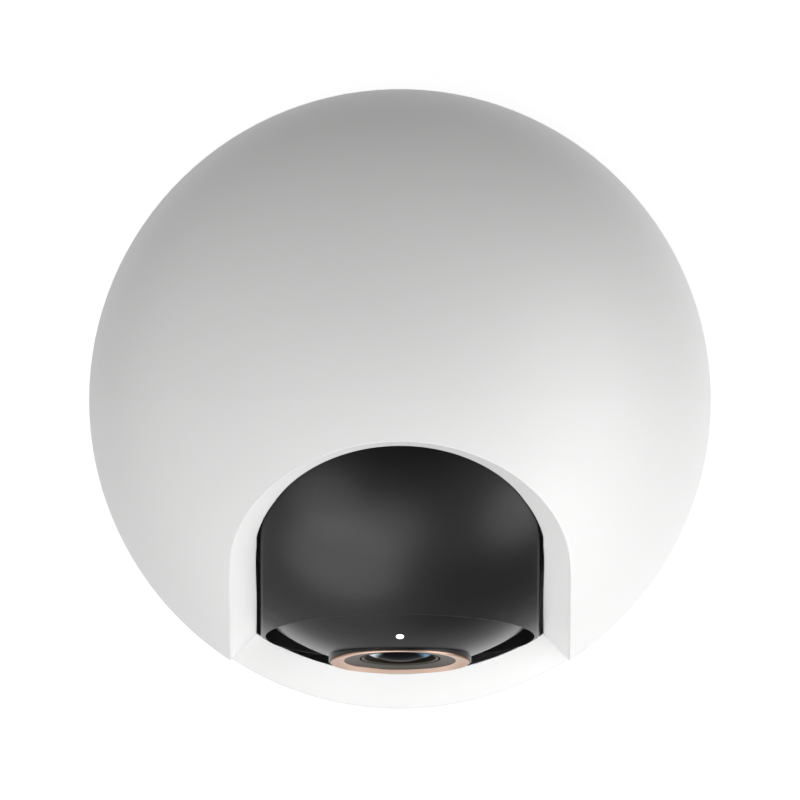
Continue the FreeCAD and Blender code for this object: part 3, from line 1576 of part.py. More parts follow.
def save_head(name, shapes):
    pieces = shapes if isinstance(shapes, list) else [shapes]
    save(name, *[placed(p) for p in pieces])


def build_base():
    save("foot_ring", foot_ring())
    save("base_plate", base_plate())
    save("base_plate_screws", *base_plate_screws())
    save("tripod_insert", tripod_insert())
    save("base_shell", base_shell())
    save("speaker_frame", speaker_frame())
    save("speaker_magnet", speaker_magnet())
    save("speaker_cone", speaker_cone())
    save("speaker_gasket", speaker_gasket())
    save("power_board", power_board())
    save("usb_socket", usb_socket())
    save("reset_switch", reset_switch())
    save("reset_button", reset_button())
    save("pan_motor", pan_motor())
    save("pan_motor_screws", *pan_motor_screws())
    save("pan_bush", pan_bush())
    save("pan_pinion", pan_pinion())
    save("base_harness", base_harness())


def build_turret():
    save("turret_floor", turret_floor())
    save("pan_gear", pan_gear())
    save("pan_gear_screws", *pan_gear_screws())
    save("hub_retainer", hub_retainer())
    save("front_shell", front_shell())
    save("rear_shell", rear_shell())
    save("shell_screws", *shell_screws())
    save("yoke_left", yoke_left())
    save("yoke_right", yoke_right())
    save("yoke_screws", *yoke_screws())
    save("tilt_bushes", tilt_bush(-1), tilt_bush(1))
    save("tilt_motor", tilt_motor())
    save("tilt_motor_screws", *tilt_motor_screws())
    save("tilt_pinion", tilt_pinion())
    save("main_board", main_board())
    save("main_board_chips", *main_board_chips())
    save("main_board_screws", *main_board_screws())
    save("heat_spreader", heat_spreader())
    save("wifi_antenna", wifi_antenna())
    save("turret_harness", turret_harness())
    save("board_cable", board_cable())


def build_head():
    save_head("head_shroud", head_with_card_slot())
    save_head("head_rear_cover", head_rear_cover())
    save_head("head_screws", head_screws())
    save_head("tilt_gear", tilt_gear())
    save_head("head_carrier", head_carrier())
    save_head("face_plate", face_plate())
    save_head("status_light", status_light())
    save_head("lens_ring", lens_ring())
    save_head("lens_bezel", lens_bezel())
    save_head("lens_glass", lens_glass())
    save_head("lens_barrel", lens_barrel())
    save_head("lens_holder", lens_holder())
    save_head("filter_slide", filter_slide())
    save_head("filter_coil", filter_coil())
    save_head("sensor_board", sensor_board())
    save_head("image_sensor", image_sensor())
    save_head("head_cable", head_cable())
    save_head("lamp_board", lamp_board())
    save_head("infrared_lamps", infrared_lamps())
    save_head("card_socket", card_socket())


build_base()
build_turret()
build_head()
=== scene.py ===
import json
import math

import bmesh
import bpy
from bpy.props import FloatProperty, FloatVectorProperty, IntProperty, PointerProperty
from mathutils import Matrix, Vector


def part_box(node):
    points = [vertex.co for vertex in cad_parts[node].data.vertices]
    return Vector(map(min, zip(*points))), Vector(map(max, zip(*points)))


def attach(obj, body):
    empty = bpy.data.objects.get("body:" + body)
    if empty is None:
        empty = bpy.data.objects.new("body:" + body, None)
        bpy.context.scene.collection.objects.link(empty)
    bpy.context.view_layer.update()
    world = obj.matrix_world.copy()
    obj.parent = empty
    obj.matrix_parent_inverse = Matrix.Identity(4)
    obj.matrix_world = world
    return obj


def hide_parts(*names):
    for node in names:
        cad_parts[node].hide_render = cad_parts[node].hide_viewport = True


# Looks of a pan-tilt security camera. Metres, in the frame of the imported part: +Z up the pan axis,
# -Y out of the window along the lens, origin at the middle of the foot.

bl_info = {
    "name": "Pan-Tilt Camera Looks",
    "version": (1, 0, 0),
    "blender": (4, 5, 0),
    "location": "View3D > Sidebar > Camera Looks",
    "description": "Dresses the packed pan-tilt camera: shells, tilting head, lens, base and studio",
    "category": "Object",
}

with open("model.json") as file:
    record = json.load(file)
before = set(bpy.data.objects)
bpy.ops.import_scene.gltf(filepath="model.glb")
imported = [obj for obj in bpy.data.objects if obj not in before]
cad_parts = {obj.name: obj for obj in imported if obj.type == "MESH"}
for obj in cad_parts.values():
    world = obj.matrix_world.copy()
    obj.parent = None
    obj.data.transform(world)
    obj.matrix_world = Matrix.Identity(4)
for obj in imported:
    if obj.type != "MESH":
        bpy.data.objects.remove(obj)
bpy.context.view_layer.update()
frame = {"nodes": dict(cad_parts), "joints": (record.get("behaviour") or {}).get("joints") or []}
MM = 0.001
WHITE = (1.0, 1.0, 1.0, 1.0)
TILT_CENTRE = next(Vector(j["pos_m"]) for j in frame["joints"] if j["name"] == "tilt")
REST_TILT = math.radians(10.0)
LENS_AXIS = Vector((0.0, -math.cos(REST_TILT), math.sin(REST_TILT)))
BODY_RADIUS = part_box("base_shell")[1].x
SHELL_WALL = 2.2 * MM
LENS_STEPS = 96


def colour_setting(name, description, default):
    return FloatVectorProperty(
        name=name, description=description, default=default, subtype="COLOR", size=3, min=0.0, max=1.0
    )


def length_setting(name, description, default):
    return FloatProperty(
        name=name, description=description, default=default, subtype="DISTANCE", unit="LENGTH", min=0.0
    )


def share_setting(name, description, default, most=1.0):
    return FloatProperty(name=name, description=description, default=default, min=0.0, max=most)


class ShellLook(bpy.types.PropertyGroup):
    """The white shells of the turret and the base."""

    colour: colour_setting("Shell colour", "White of the moulded shells", (0.84, 0.84, 0.835))
    roughness: share_setting("Roughness", "How matt the moulded surface is", 0.4)
    grain: length_setting("Grain", "Size of the fine moulded texture", 0.22 * MM)
    grain_depth: length_setting("Grain depth", "Height of the fine moulded texture", 0.002 * MM)
    flow: length_setting("Flow marks", "Size of the plastic's faint flow marks", 18 * MM)
    flow_tone: share_setting("Flow tone", "Brightness of the flow marks against the rest", 0.985)
    edge: length_setting("Edge rounding", "Radius of the shells' softened edges", 0.22 * MM)
    # The window's frame is painted lighter than the shell: painted light on the bevel.
    frame_painted_light: share_setting("Frame tone", "Brightness of the window's polished frame", 1.07, 1.19)
    frame_polish: share_setting("Frame polish", "How much smoother the window's frame is", 0.15)
    # The softened edges are painted towards white: a painted highlight.
    edge_painted_highlight: share_setting("Edge shine", "How much the softened edges are lifted towards white", 0.8)


class HeadLook(bpy.types.PropertyGroup):
    """The black drum that tilts, and the glossy face in it."""

    drum: colour_setting("Drum colour", "Black of the satin drum", (0.0045, 0.0045, 0.005))
    drum_roughness: share_setting("Drum roughness", "How matt the drum is", 0.3)
    face: colour_setting("Face colour", "Black of the glossy face", (0.003, 0.003, 0.0034))
    face_roughness: share_setting("Face roughness", "How matt the face is", 0.27)
    grain: length_setting("Drum grain", "Size of the drum's fine texture", 0.3 * MM)


class LensLook(bpy.types.PropertyGroup):
    """The copper ring, the bezel, the glass and the status light."""

    copper: colour_setting("Copper", "Colour of the copper trim ring", (0.88, 0.6, 0.455))
    # The trim ring's two ends are painted darker and warmer: painted shade.
    copper_painted_shade: colour_setting("Copper side", "Colour of the trim ring's two sides", (0.48, 0.27, 0.155))
    copper_roughness: share_setting("Copper roughness", "How matt the copper ring is", 0.3)
    bezel: colour_setting("Bezel", "Brown-grey of the stepped bezel", (0.03, 0.022, 0.014))
    coating: colour_setting("Coating", "Tint of the coated inner glass", (0.02, 0.035, 0.12))
    # The blue sheen at the right and the pale sheen at the left of the front glass are painted reflections
    # in its colour.
    sheen: colour_setting("Sheen", "Blue sheen on the right of the front glass", (0.16, 0.28, 0.42))
    bright_sheen: colour_setting("Bright sheen", "Pale sheen on the left of the glass", (0.8, 0.9, 1.0))
    clear_bend: FloatProperty(
        name="Glass index", description="Refraction of the coated front glass", default=1.03, min=1.0
    )
    light: share_setting("Status light", "Strength of the white status light", 1.0, 4.0)
    curve: length_setting("Front glass curve", "Radius of the front glass", 9.5 * MM)
    glass_radius: length_setting("Front glass radius", "Radius of the front glass's rim", 4.3 * MM)
    inner_radius: length_setting("Inner glass radius", "Radius of the glass behind the stop", 2.5 * MM)


class BaseLook(bpy.types.PropertyGroup):
    """The foot, the socket and the speaker's cloth."""

    rubber: colour_setting("Rubber", "Colour of the foot ring", (0.03, 0.03, 0.031))
    plate: colour_setting("Base plate", "Grey of the base plate", (0.45, 0.45, 0.45))
    cloth_thread: length_setting("Thread pitch", "Spacing of the speaker cloth's threads", 0.35 * MM)
    contacts: IntProperty(name="Contacts", description="Contacts on the socket's tongue", default=6, min=1)


class StudioLook(bpy.types.PropertyGroup):
    """The floor, the lamps, the backdrop and the camera."""

    floor: colour_setting("Floor", "Colour of the floor", (0.4, 0.4, 0.4))
    floor_lift: share_setting("Floor lift", "How far the floor is lifted towards white for the camera", 0.8)
    main: share_setting("Main lamp", "Strength of the wide low lamp at the right front", 0.69, 4.0)
    front_left: share_setting("Front left lamp", "Strength of the lamp at the front left", 0.2, 4.0)
    front_high: share_setting("High front lamp", "Strength of the small lamp above the front", 0.06, 4.0)
    front_right: share_setting("Front right lamp", "Strength of the lamp at the front right", 0.09, 4.0)
    upper_left: share_setting("Upper left lamp", "Strength of the small lamp at the upper left", 0.08, 4.0)
    right_front: share_setting("Right front lamp", "Strength of the lamp at the right front", 0.18, 4.0)
    right: share_setting("Right lamp", "Strength of the right lamp", 0.34, 4.0)
    left: share_setting("Left lamp", "Strength of the high lamp at the left", 0.57, 4.0)
    back: share_setting("Back lamp", "Strength of the rear lamp", 0.05, 4.0)
    ambient: share_setting("Ambient", "Strength of the even light from all round", 0.06)
    surround: share_setting("Surroundings", "Brightness that reflections show at eye level", 0.55, 2.0)
    below: share_setting("Below", "Brightness that reflections show from below", 1.0, 2.0)
    ceiling: share_setting("Ceiling", "Brightness that reflections show straight overhead", 0.12)
    flag: share_setting("Flag", "How much the dark flag at the front right dims reflections", 0.6)
    distance: length_setting("Lamp distance", "How far the lamps stand from the head", 0.6)
    picture: length_setting("Picture width", "Width that the picture takes in", 100.33 * MM)
    lens: FloatProperty(
        name="Focal length", description="Long lens, which shows almost no perspective",
        default=1100.0, min=50.0,
    )


# Materials


class Wire:
    """A socket in a material. Arithmetic on it adds Math nodes."""

    def __init__(self, paint, socket):
        self.paint = paint
        self.socket = socket

    def _math(self, operation, *values):
        inputs = dict(enumerate(values))
        return self.paint.add("ShaderNodeMath", {"operation": operation}, inputs)

    def __add__(self, other):
        return self._math("ADD", self, other)

    def __radd__(self, other):
        return self._math("ADD", other, self)

    def __sub__(self, other):
        return self._math("SUBTRACT", self, other)

    def __rsub__(self, other):
        return self._math("SUBTRACT", other, self)

    def __mul__(self, other):
        return self._math("MULTIPLY", self, other)

    def __abs__(self):
        return self._math("ABSOLUTE", self)

    def sine(self):
        return self._math("SINE", self)

    def above(self, limit):
        return self._math("GREATER_THAN", self, limit)

    def between(self, low, high):
        """Rises smoothly from 0 at low to 1 at high."""
        settings = {"interpolation_type": "SMOOTHSTEP"}
        return self.paint.add("ShaderNodeMapRange", settings, {0: self, 1: low, 2: high})


class Paint:
    """A node tree of a material or of the world."""

    def __init__(self, owner):
        self.owner = owner
        owner.use_nodes = True
        self.tree = owner.node_tree
        self.tree.nodes.clear()

    def add(self, kind, settings=None, inputs=None, out=0):
        """Adds a node from its type, its settings, which are set first, and its inputs' values or links."""
        node = self.tree.nodes.new(kind)
        for name, value in (settings or {}).items():
            setattr(node, name, value)
        for key, value in (inputs or {}).items():
            socket = node.inputs[key]
            if isinstance(value, Wire):
                self.tree.links.new(value.socket, socket)
            else:
                socket.default_value = value
        return Wire(self, node.outputs[out])

    def place(self):
        """Where a point of the piece is, at rest, in metres."""
        return self.add("ShaderNodeTexCoord", out="Object")

    def split(self, vector):
        node = self.add("ShaderNodeSeparateXYZ", inputs={0: vector}).socket.node
        return [Wire(self, node.outputs[i]) for i in range(3)]

    def vector_math(self, operation, *values, out=0):
        return self.add("ShaderNodeVectorMath", {"operation": operation}, dict(enumerate(values)), out)

    def mix(self, factor, first, second):
        """A colour between two colours."""
        settings = {"data_type": "RGBA"}
        return self.add("ShaderNodeMix", settings, {0: factor, 6: first, 7: second}, out=2)

    def noise(self, size, detail=2.0, roughness=0.5):
        """An uneven pattern from 0 to 1, with patches of about the given size in metres."""
        inputs = {"Vector": self.place(), "Scale": 1.0 / size, "Detail": detail, "Roughness": roughness}
        return self.add("ShaderNodeTexNoise", None, inputs, out="Fac")

    def waves(self, distance, pitch):
        """Even waves from 0 to 1 along a distance, one for each pitch."""
        return (distance * (2 * math.pi / pitch)).sine() * 0.5 + 0.5

    def bump(self, height, depth, normal=None):
        """Relief: height runs from 0 to 1, and depth is its real height in metres."""
        inputs = {"Height": height, "Strength": 1.0, "Distance": depth}
        if normal is not None:
            inputs["Normal"] = normal
        return self.add("ShaderNodeBump", None, inputs)

    def soft_edges(self, radius):
        """The surface's normal, rounded over at its edges."""
        return self.add("ShaderNodeBevel", {"samples": 4}, {"Radius": radius})

    def facing(self):
        """The surface's own normal."""
        return self.add("ShaderNodeNewGeometry", out="Normal")

    def blend(self, factor, first, second):
        """A direction between two directions."""
        settings = {"data_type": "VECTOR"}
        return self.add("ShaderNodeMix", settings, {0: factor, 4: first, 5: second}, out=1)

    def shader(self, **inputs):
        """A plastic, metal or glass shader. Names are its sockets, with _ for a space."""
        named = {name.replace("_", " "): value for name, value in inputs.items()}
        for name in ("Base Color", "Emission Color"):
            if name in named and not isinstance(named[name], Wire):
                named[name] = (*named[name][:3], 1.0)
        return self.add("ShaderNodeBsdfPrincipled", None, named)

    def surface(self, **inputs):
        """A material of one shader."""
        self.finish(self.shader(**inputs))

    def finish(self, shader):
        """Joins a shader to the output of the material or the world."""
        of_world = isinstance(self.owner, bpy.types.World)
        output = self.tree.nodes.new("ShaderNodeOutputWorld" if of_world else "ShaderNodeOutputMaterial")
        self.tree.links.new(shader.socket, output.inputs["Surface"])


def new_paint(name):
    return Paint(bpy.data.materials.new(name))


def rgb(colour):
    return (*colour[:3], 1.0)


def shade(colour, times):
    return tuple(min(1.0, c * times) for c in colour[:3]) + (1.0,)


def dress(material, *nodes):
    """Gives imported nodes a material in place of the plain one."""
    for name in nodes:
        for slot in frame["nodes"][name].material_slots:
            slot.material = material


def lens_radius(paint):
    """How far a point lies from the lens axis, in metres."""
    axis = tuple(LENS_AXIS)
    from_axle = paint.vector_math("SUBTRACT", paint.place(), tuple(TILT_CENTRE))
    forward = paint.vector_math("DOT_PRODUCT", from_axle, axis, out="Value")
    along = paint.add("ShaderNodeVectorMath", {"operation": "SCALE"}, {0: axis, "Scale": forward})
    away = paint.vector_math("SUBTRACT", from_axle, along)
    return paint.vector_math("LENGTH", away, out="Value")


def frame_polish_and_painted_light_mask(paint):
    """1 on the window's bevel, which lies under the shell's outer form, and 0 on the outer form."""
    skin = 0.15 * MM
    under_skin = 0.35 * MM
    over = paint.vector_math("MAXIMUM", paint.place(), (-1.0, -1.0, TILT_CENTRE.z))
    from_axis = paint.vector_math("SUBTRACT", over, (0.0, 0.0, TILT_CENTRE.z))
    radius = paint.vector_math("LENGTH", from_axis, out="Value")
    return 1 - radius.between(BODY_RADIUS - under_skin, BODY_RADIUS - skin)


def scuffs(paint, size, rare, common, bottom, top):
    """Scuffs of a size, where the noise passes from rare to common, that fade from bottom to top."""
    height = paint.split(paint.place())[2]
    return paint.noise(size, 4.0, 0.7).between(rare, common) * (1 - height.between(bottom, top))


def white_shell_paint(look, name, tone):
    """White moulded plastic: a fine satin texture, faint flow marks, and scuffs along the lower edge, with
    the window's frame painted lighter and the softened edges painted towards white, as painted highlights.
    """
    paint = new_paint(name)
    fine = paint.noise(look.grain, 3.0, 0.6)
    flow = paint.noise(look.flow, 2.0)
    moulded = paint.mix(flow, shade(look.colour, tone * look.flow_tone), shade(look.colour, tone))
    # The frame is smoother, and it is also painted lighter as painted light.
    frame_polish_and_painted_light = frame_polish_and_painted_light_mask(paint)
    clean = paint.mix(frame_polish_and_painted_light, moulded, shade(look.colour, look.frame_painted_light))
    scuff = scuffs(paint, size=5 * MM, rare=0.66, common=0.85, bottom=40 * MM, top=44 * MM)
    worn = paint.mix(scuff * 0.2, clean, shade(look.colour, 0.8))
    from_seam = abs(paint.split(paint.place())[1])
    off_seam = from_seam.between(2 * look.edge, 3 * look.edge)
    smooth = paint.blend(off_seam, paint.facing(), paint.soft_edges(look.edge))
    # Painted highlight: the softened edges, away from the seam, are painted towards white.
    edge = paint.vector_math("DOT_PRODUCT", paint.facing(), smooth, out="Value")
    edge = 1 - edge.between(0.97, 0.999)
    colour = paint.mix(edge * look.edge_painted_highlight, worn, WHITE)
    relief = paint.bump(fine, look.grain_depth, smooth)
    rough = look.roughness + (fine - 0.5) * 0.12 - frame_polish_and_painted_light * look.frame_polish
    paint.surface(Base_Color=colour, Roughness=rough, Normal=relief, IOR=1.46)
    return paint.owner


def base_shell_paint(look):
    """The base's white plastic, with scuffs just above the foot."""
    paint = new_paint("white_base")
    fine = paint.noise(look.grain, 3.0, 0.6)
    flow = paint.noise(look.flow, 2.0)
    clean = paint.mix(flow, shade(look.colour, look.flow_tone), rgb(look.colour))
    scuff = scuffs(paint, size=4 * MM, rare=0.62, common=0.8, bottom=1 * MM, top=4 * MM)
    colour = paint.mix(scuff * 0.25, clean, shade(look.colour, 0.75))
    relief = paint.bump(fine, look.grain_depth, paint.soft_edges(look.edge * 0.7))
    rough = look.roughness + (fine - 0.5) * 0.12
    paint.surface(Base_Color=colour, Roughness=rough, Normal=relief, IOR=1.46)
    return paint.owner


def drum_paint(look):
    """Black satin plastic with a very fine grain."""
    grain_depth = 0.0012 * MM
    edge = 0.15 * MM
    paint = new_paint("satin_black")
    fine = paint.noise(look.grain, 3.0, 0.65)
    cloudy = paint.noise(9 * MM, 3.0)
    colour = paint.mix(cloudy, shade(look.drum, 0.8), shade(look.drum, 1.25))
    rough = look.drum_roughness + (fine - 0.5) * 0.1 + (cloudy - 0.5) * 0.05
    relief = paint.bump(fine, grain_depth, paint.soft_edges(edge))
    paint.surface(Base_Color=colour, Roughness=rough, Normal=relief, IOR=1.48)
    return paint.owner


def face_paint(look):
    """Glossy black that lets infrared through, with the faintest mould swirl round the lens."""
    ring_pitch = 0.4 * MM
    ring_depth = 0.00012 * MM
    edge = 0.12 * MM
    paint = new_paint("gloss_black")
    swirl = paint.noise(5 * MM, 2.0)
    rings = paint.waves(lens_radius(paint), ring_pitch)
    colour = paint.mix(swirl, shade(look.face, 0.85), shade(look.face, 1.15))
    rough = look.face_roughness + (swirl - 0.5) * 0.03
    relief = paint.bump(rings, ring_depth, paint.soft_edges(edge))
    paint.surface(Base_Color=colour, Roughness=rough, Normal=relief, IOR=1.5)
    return paint.owner


def copper_paint(look):
    """Spun copper-coloured trim: fine turning marks round the lens, and the ring's two ends painted darker
    and warmer as painted shade.
    """
    mark_pitch = 0.11 * MM
    mark_depth = 0.0016 * MM
    edge = 0.06 * MM
    painted_shade_start = 5 * MM
    painted_shade_end = 8.4 * MM
    paint = new_paint("spun_copper")
    marks = paint.waves(lens_radius(paint), mark_pitch)
    drift = paint.noise(1.6 * MM, 3.0)
    middle = paint.mix(drift, shade(look.copper, 0.95), shade(look.copper, 1.04))
    # Painted shade: towards its left and right ends the ring is painted in the darker, warmer side colour.
    side = abs(paint.split(paint.place())[0]).between(painted_shade_start, painted_shade_end)
    colour = paint.mix(side, middle, rgb(look.copper_painted_shade))
    rough = look.copper_roughness + (drift - 0.5) * 0.08
    relief = paint.bump(marks, mark_depth, paint.soft_edges(edge))
    paint.surface(Base_Color=colour, Metallic=1.0, Roughness=rough, Normal=relief)
    return paint.owner


def bezel_paint(look):
    """Dark grey plastic, with fine rings that kill stray light."""
    ring_pitch = 0.22 * MM
    ring_depth = 0.004 * MM
    edge = 0.05 * MM
    paint = new_paint("ringed_bezel")
    rings = paint.waves(lens_radius(paint), ring_pitch)
    fine = paint.noise(0.12 * MM, 2.0)
    colour = paint.mix(fine, shade(look.bezel, 0.85), shade(look.bezel, 1.15))
    relief = paint.bump(rings, ring_depth, paint.soft_edges(edge))
    paint.surface(Base_Color=colour, Roughness=0.38 + (fine - 0.5) * 0.1, Normal=relief, IOR=1.25)
    return paint.owner


def plastic_paint(name, colour, roughness, grain, depth=0.004 * MM):
    """Moulded plastic with a fine grain and an uneven tone."""
    uneven = 0.12
    paint = new_paint(name)
    fine = paint.noise(grain, 3.0, 0.6)
    wide = paint.noise(grain * 40, 2.0)
    tone = paint.mix(wide, shade(colour, 1 - uneven), shade(colour, 1 + uneven))
    relief = paint.bump(fine, depth)
    paint.surface(Base_Color=tone, Roughness=roughness + (fine - 0.5) * 0.12, Normal=relief)
    return paint.owner


def metal_paint(name, colour, roughness, grain=0.15 * MM):
    """Worked metal: fine marks and a faintly stained tone."""
    paint = new_paint(name)
    fine = paint.noise(grain, 4.0, 0.7)
    wide = paint.noise(2.5 * MM, 3.0)
    tone = paint.mix(wide, shade(colour, 0.86), shade(colour, 1.08))
    relief = paint.bump(fine, 0.003 * MM)
    rough = roughness + (wide - 0.5) * 0.15
    paint.surface(Base_Color=tone, Metallic=1.0, Roughness=rough, Normal=relief)
    return paint.owner


def rubber_paint(look):
    """Soft rubber: dull, faintly dusty in its pores."""
    paint = new_paint("foot_rubber_skin")
    pores = paint.noise(0.35 * MM, 4.0, 0.7)
    dust = paint.noise(6 * MM, 3.0).between(0.55, 0.8)
    colour = paint.mix(dust * 0.35, rgb(look.rubber), shade(look.rubber, 2.6))
    relief = paint.bump(pores, 0.02 * MM)
    paint.surface(Base_Color=colour, Roughness=0.78 + (pores - 0.5) * 0.15, Normal=relief)
    return paint.owner


def board_paint():
    """Green circuit board: copper tracks under the mask, on a fine grid."""
    track_pitch = 1.1 * MM
    paint = new_paint("green_board")
    x, y, z = paint.split(paint.place())
    pitch = 2 * math.pi / track_pitch
    wander = paint.noise(3 * MM, 1.0) * 9
    across = ((y + z) * pitch + wander).sine()
    down = ((x + z) * pitch - wander).sine()
    tracks = (across * down).above(0.25)
    mask = (0.012, 0.1, 0.035)
    colour = paint.mix(tracks, rgb(mask), shade(mask, 1.7))
    weave = paint.noise(0.3 * MM, 2.0)
    relief = paint.bump(tracks, 0.02 * MM)
    paint.surface(Base_Color=colour, Roughness=0.32 + weave * 0.15, Normal=relief)
    return paint.owner


def cloth_paint(look):
    """Black acoustic cloth: an open plain weave."""
    paint = new_paint("speaker_cloth_weave")
    place = paint.split(paint.place())
    weave = paint.waves(place[0], look.cloth_thread) * paint.waves(place[2], look.cloth_thread)
    colour = paint.mix(weave, (0.006, 0.006, 0.006, 1.0), (0.05, 0.05, 0.052, 1.0))
    relief = paint.bump(weave, 0.08 * MM)
    paint.surface(Base_Color=colour, Roughness=0.85, Normal=relief)
    return paint.owner


def glass_paint(look):
    """Front glass: clear when looked into, and dark when seen aslant, with painted reflections at its
    sides, pale at the left and blue at the right.
    """
    paint = new_paint("clear_glass")
    smear = paint.noise(2 * MM, 2.0)
    clear = paint.shader(
        Base_Color=(0.96, 0.97, 1.0), Roughness=smear * 0.02, IOR=look.clear_bend, Transmission_Weight=1.0
    )
    # Painted reflections near the glass's rim: pale at the left, blue at the right, painted into the dark
    # glass's colour.
    across = paint.split(paint.place())[0]
    rim = lens_radius(paint).between(0.6 * look.glass_radius, 0.8 * look.glass_radius)
    sheen = rim * abs(across).between(0.45 * look.glass_radius, 0.8 * look.glass_radius)
    side = across.between(-1 * MM, 1 * MM)
    painted_reflection_colour = paint.mix(side, rgb(look.bright_sheen), rgb(look.sheen))
    colour = paint.mix(sheen, (0.004, 0.005, 0.007, 1.0), painted_reflection_colour)
    dark = paint.shader(Base_Color=colour, Roughness=0.12, IOR=look.clear_bend)
    aslant = paint.add("ShaderNodeLayerWeight", None, {"Blend": 0.5}, out="Facing")
    paint.finish(paint.add("ShaderNodeMixShader", None, {0: aslant.between(0.25, 0.4), 1: clear, 2: dark}))
    return paint.owner


def coated_paint(look):
    """The inner glass: dark, with a coating that turns from blue to violet towards its rim."""
    paint = new_paint("coated_glass")
    rim = lens_radius(paint).between(0.3 * look.inner_radius, look.inner_radius)
    colour = paint.mix(rim, rgb(look.coating), (0.09, 0.02, 0.12, 1.0))
    paint.surface(Base_Color=colour, Roughness=0.03, Metallic=0.35, IOR=1.7, Coat_Weight=1.0)
    return paint.owner


def light_paint(look):
    """The lit end of the light pipe: white, with a faint blue unevenness."""
    paint = new_paint("lit_pipe")
    glow = paint.noise(0.4 * MM, 1.0)
    colour = paint.mix(glow, WHITE, (0.95, 0.97, 1.0, 1.0))
    paint.surface(
        Base_Color=(0.9, 0.9, 0.9), Roughness=0.25, Emission_Color=colour, Emission_Strength=look.light
    )
    return paint.owner


# Meshes


def keep(name, mesh, material, body, slot, *replaced):
    """Makes a piece of a mesh: its finish, the body it rides on and the nodes it stands for."""
    piece = bpy.data.objects.new(name, mesh)
    bpy.context.scene.collection.objects.link(piece)
    mesh.materials.append(material)
    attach(piece, body)
    if replaced:
        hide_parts(*replaced)


def turned(name, outline, steps, closed):
    """A mesh turned about the lens axis, from points in (radius, depth forward of the tilt axis)."""
    sharp = math.radians(35)
    on_axis = 1e-9
    mesh = bpy.data.meshes.new(name)
    shape = bmesh.new()
    rings = []
    for radius, depth in outline:
        if radius < on_axis:
            rings.append([shape.verts.new((0.0, 0.0, depth))])
            continue
        turns = [2 * math.pi * i / steps for i in range(steps)]
        rings.append([shape.verts.new((radius * math.cos(t), radius * math.sin(t), depth)) for t in turns])
    pairs = list(zip(rings, rings[1:]))
    if closed:
        pairs.append((rings[-1], rings[0]))
    for first, second in pairs:
        for i in range(steps):
            j = (i + 1) % steps
            corners = [first[i % len(first)], first[j % len(first)]]
            corners += [second[j % len(second)], second[i % len(second)]]
            unique = list(dict.fromkeys(corners))
            if len(unique) > 2:
                shape.faces.new(unique)
    bmesh.ops.recalc_face_normals(shape, faces=shape.faces)
    shape.transform(lens_place())
    shape.to_mesh(mesh)
    shape.free()
    mesh.shade_smooth()
    mesh.set_sharp_from_angle(angle=sharp)
    return mesh


def lens_place():
    """The frame whose Z axis runs forward along the lens, with its origin on the tilt axis."""
    right = Vector((1.0, 0.0, 0.0))
    up = LENS_AXIS.cross(right)
    turn = Matrix((right, up, LENS_AXIS)).transposed().to_4x4()
    return Matrix.Translation(TILT_CENTRE) @ turn


def lens_front(node):
    """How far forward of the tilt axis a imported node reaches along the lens."""
    corners = frame["nodes"][node].data.vertices
    return max((corner.co - TILT_CENTRE).dot(LENS_AXIS) for corner in corners)


def dome_points(radius, curve, top, count):
    """Points of a ball's cap from its rim to its middle, in (radius, depth)."""
    points = []
    for i in range(count + 1):
        r = radius * (1 - i / count)
        points.append((r, top - curve + math.sqrt(curve * curve - r * r)))
    return points


def front_glass_mesh(look):
    """A thin domed front glass, hollow behind."""
    apex = lens_front("lens_glass")
    rim = 0.15 * MM
    thickness = 0.75 * MM
    inner_curve = look.curve * 0.92
    outer = dome_points(look.glass_radius, look.curve, apex, 14)
    inner = dome_points(look.glass_radius - rim, inner_curve, apex - thickness, 12)
    return turned("front_glass", outer + inner[::-1], LENS_STEPS, True)


def lens_tube_mesh(look):
    """The hollow barrel: a stepped mouth behind the front glass, a stop, and the threaded body."""
    seat = 0.35 * MM
    length = 15.25 * MM
    shoulder_depth = 2.0 * MM
    thread_depth = 13.35 * MM
    front = lens_front("lens_barrel") - seat
    floor = lens_front("lens_holder")
    back = front - length
    shoulder = front - shoulder_depth
    mouth = look.glass_radius
    body = 5.95 * MM
    steps = [
        (mouth, 0.0),
        (mouth - 0.35 * MM, 0.0),
        (mouth - 0.5 * MM, 0.35 * MM),
        (mouth - 0.5 * MM, 0.75 * MM),
        (mouth - 0.95 * MM, 0.9 * MM),
        (mouth - 0.95 * MM, 1.3 * MM),
        (mouth - 1.35 * MM, 1.45 * MM),
        (look.inner_radius + 0.2 * MM, 1.85 * MM),
        (look.inner_radius, 2.05 * MM),
    ]
    outline = [(radius, front - behind) for radius, behind in steps]
    outline += [(look.inner_radius, floor), (0.0, floor), (0.0, back), (body, back)]
    threads = 8
    pitch = 1.0 * MM
    groove = 0.25 * MM
    first_thread = front - thread_depth
    for turn in range(threads):
        depth = first_thread + turn * pitch
        outline += [(body, depth), (body - groove, depth + groove), (body, depth + 2 * groove)]
    outline += [(body, shoulder), (mouth, shoulder)]
    return turned("lens_tube", outline, LENS_STEPS, True)


def inner_glass_mesh(look):
    """The second element, a strongly curved glass behind the stop."""
    clearance = 0.02 * MM
    curve = 4.2 * MM
    behind_mouth = 2.45 * MM
    thickness = 2.25 * MM
    radius = look.inner_radius - clearance
    apex = lens_front("lens_barrel") - behind_mouth
    back = apex - thickness
    cap = dome_points(radius, curve, apex, 12)
    return turned("inner_glass", [(0.0, back), (radius, back)] + cap, 72, False)


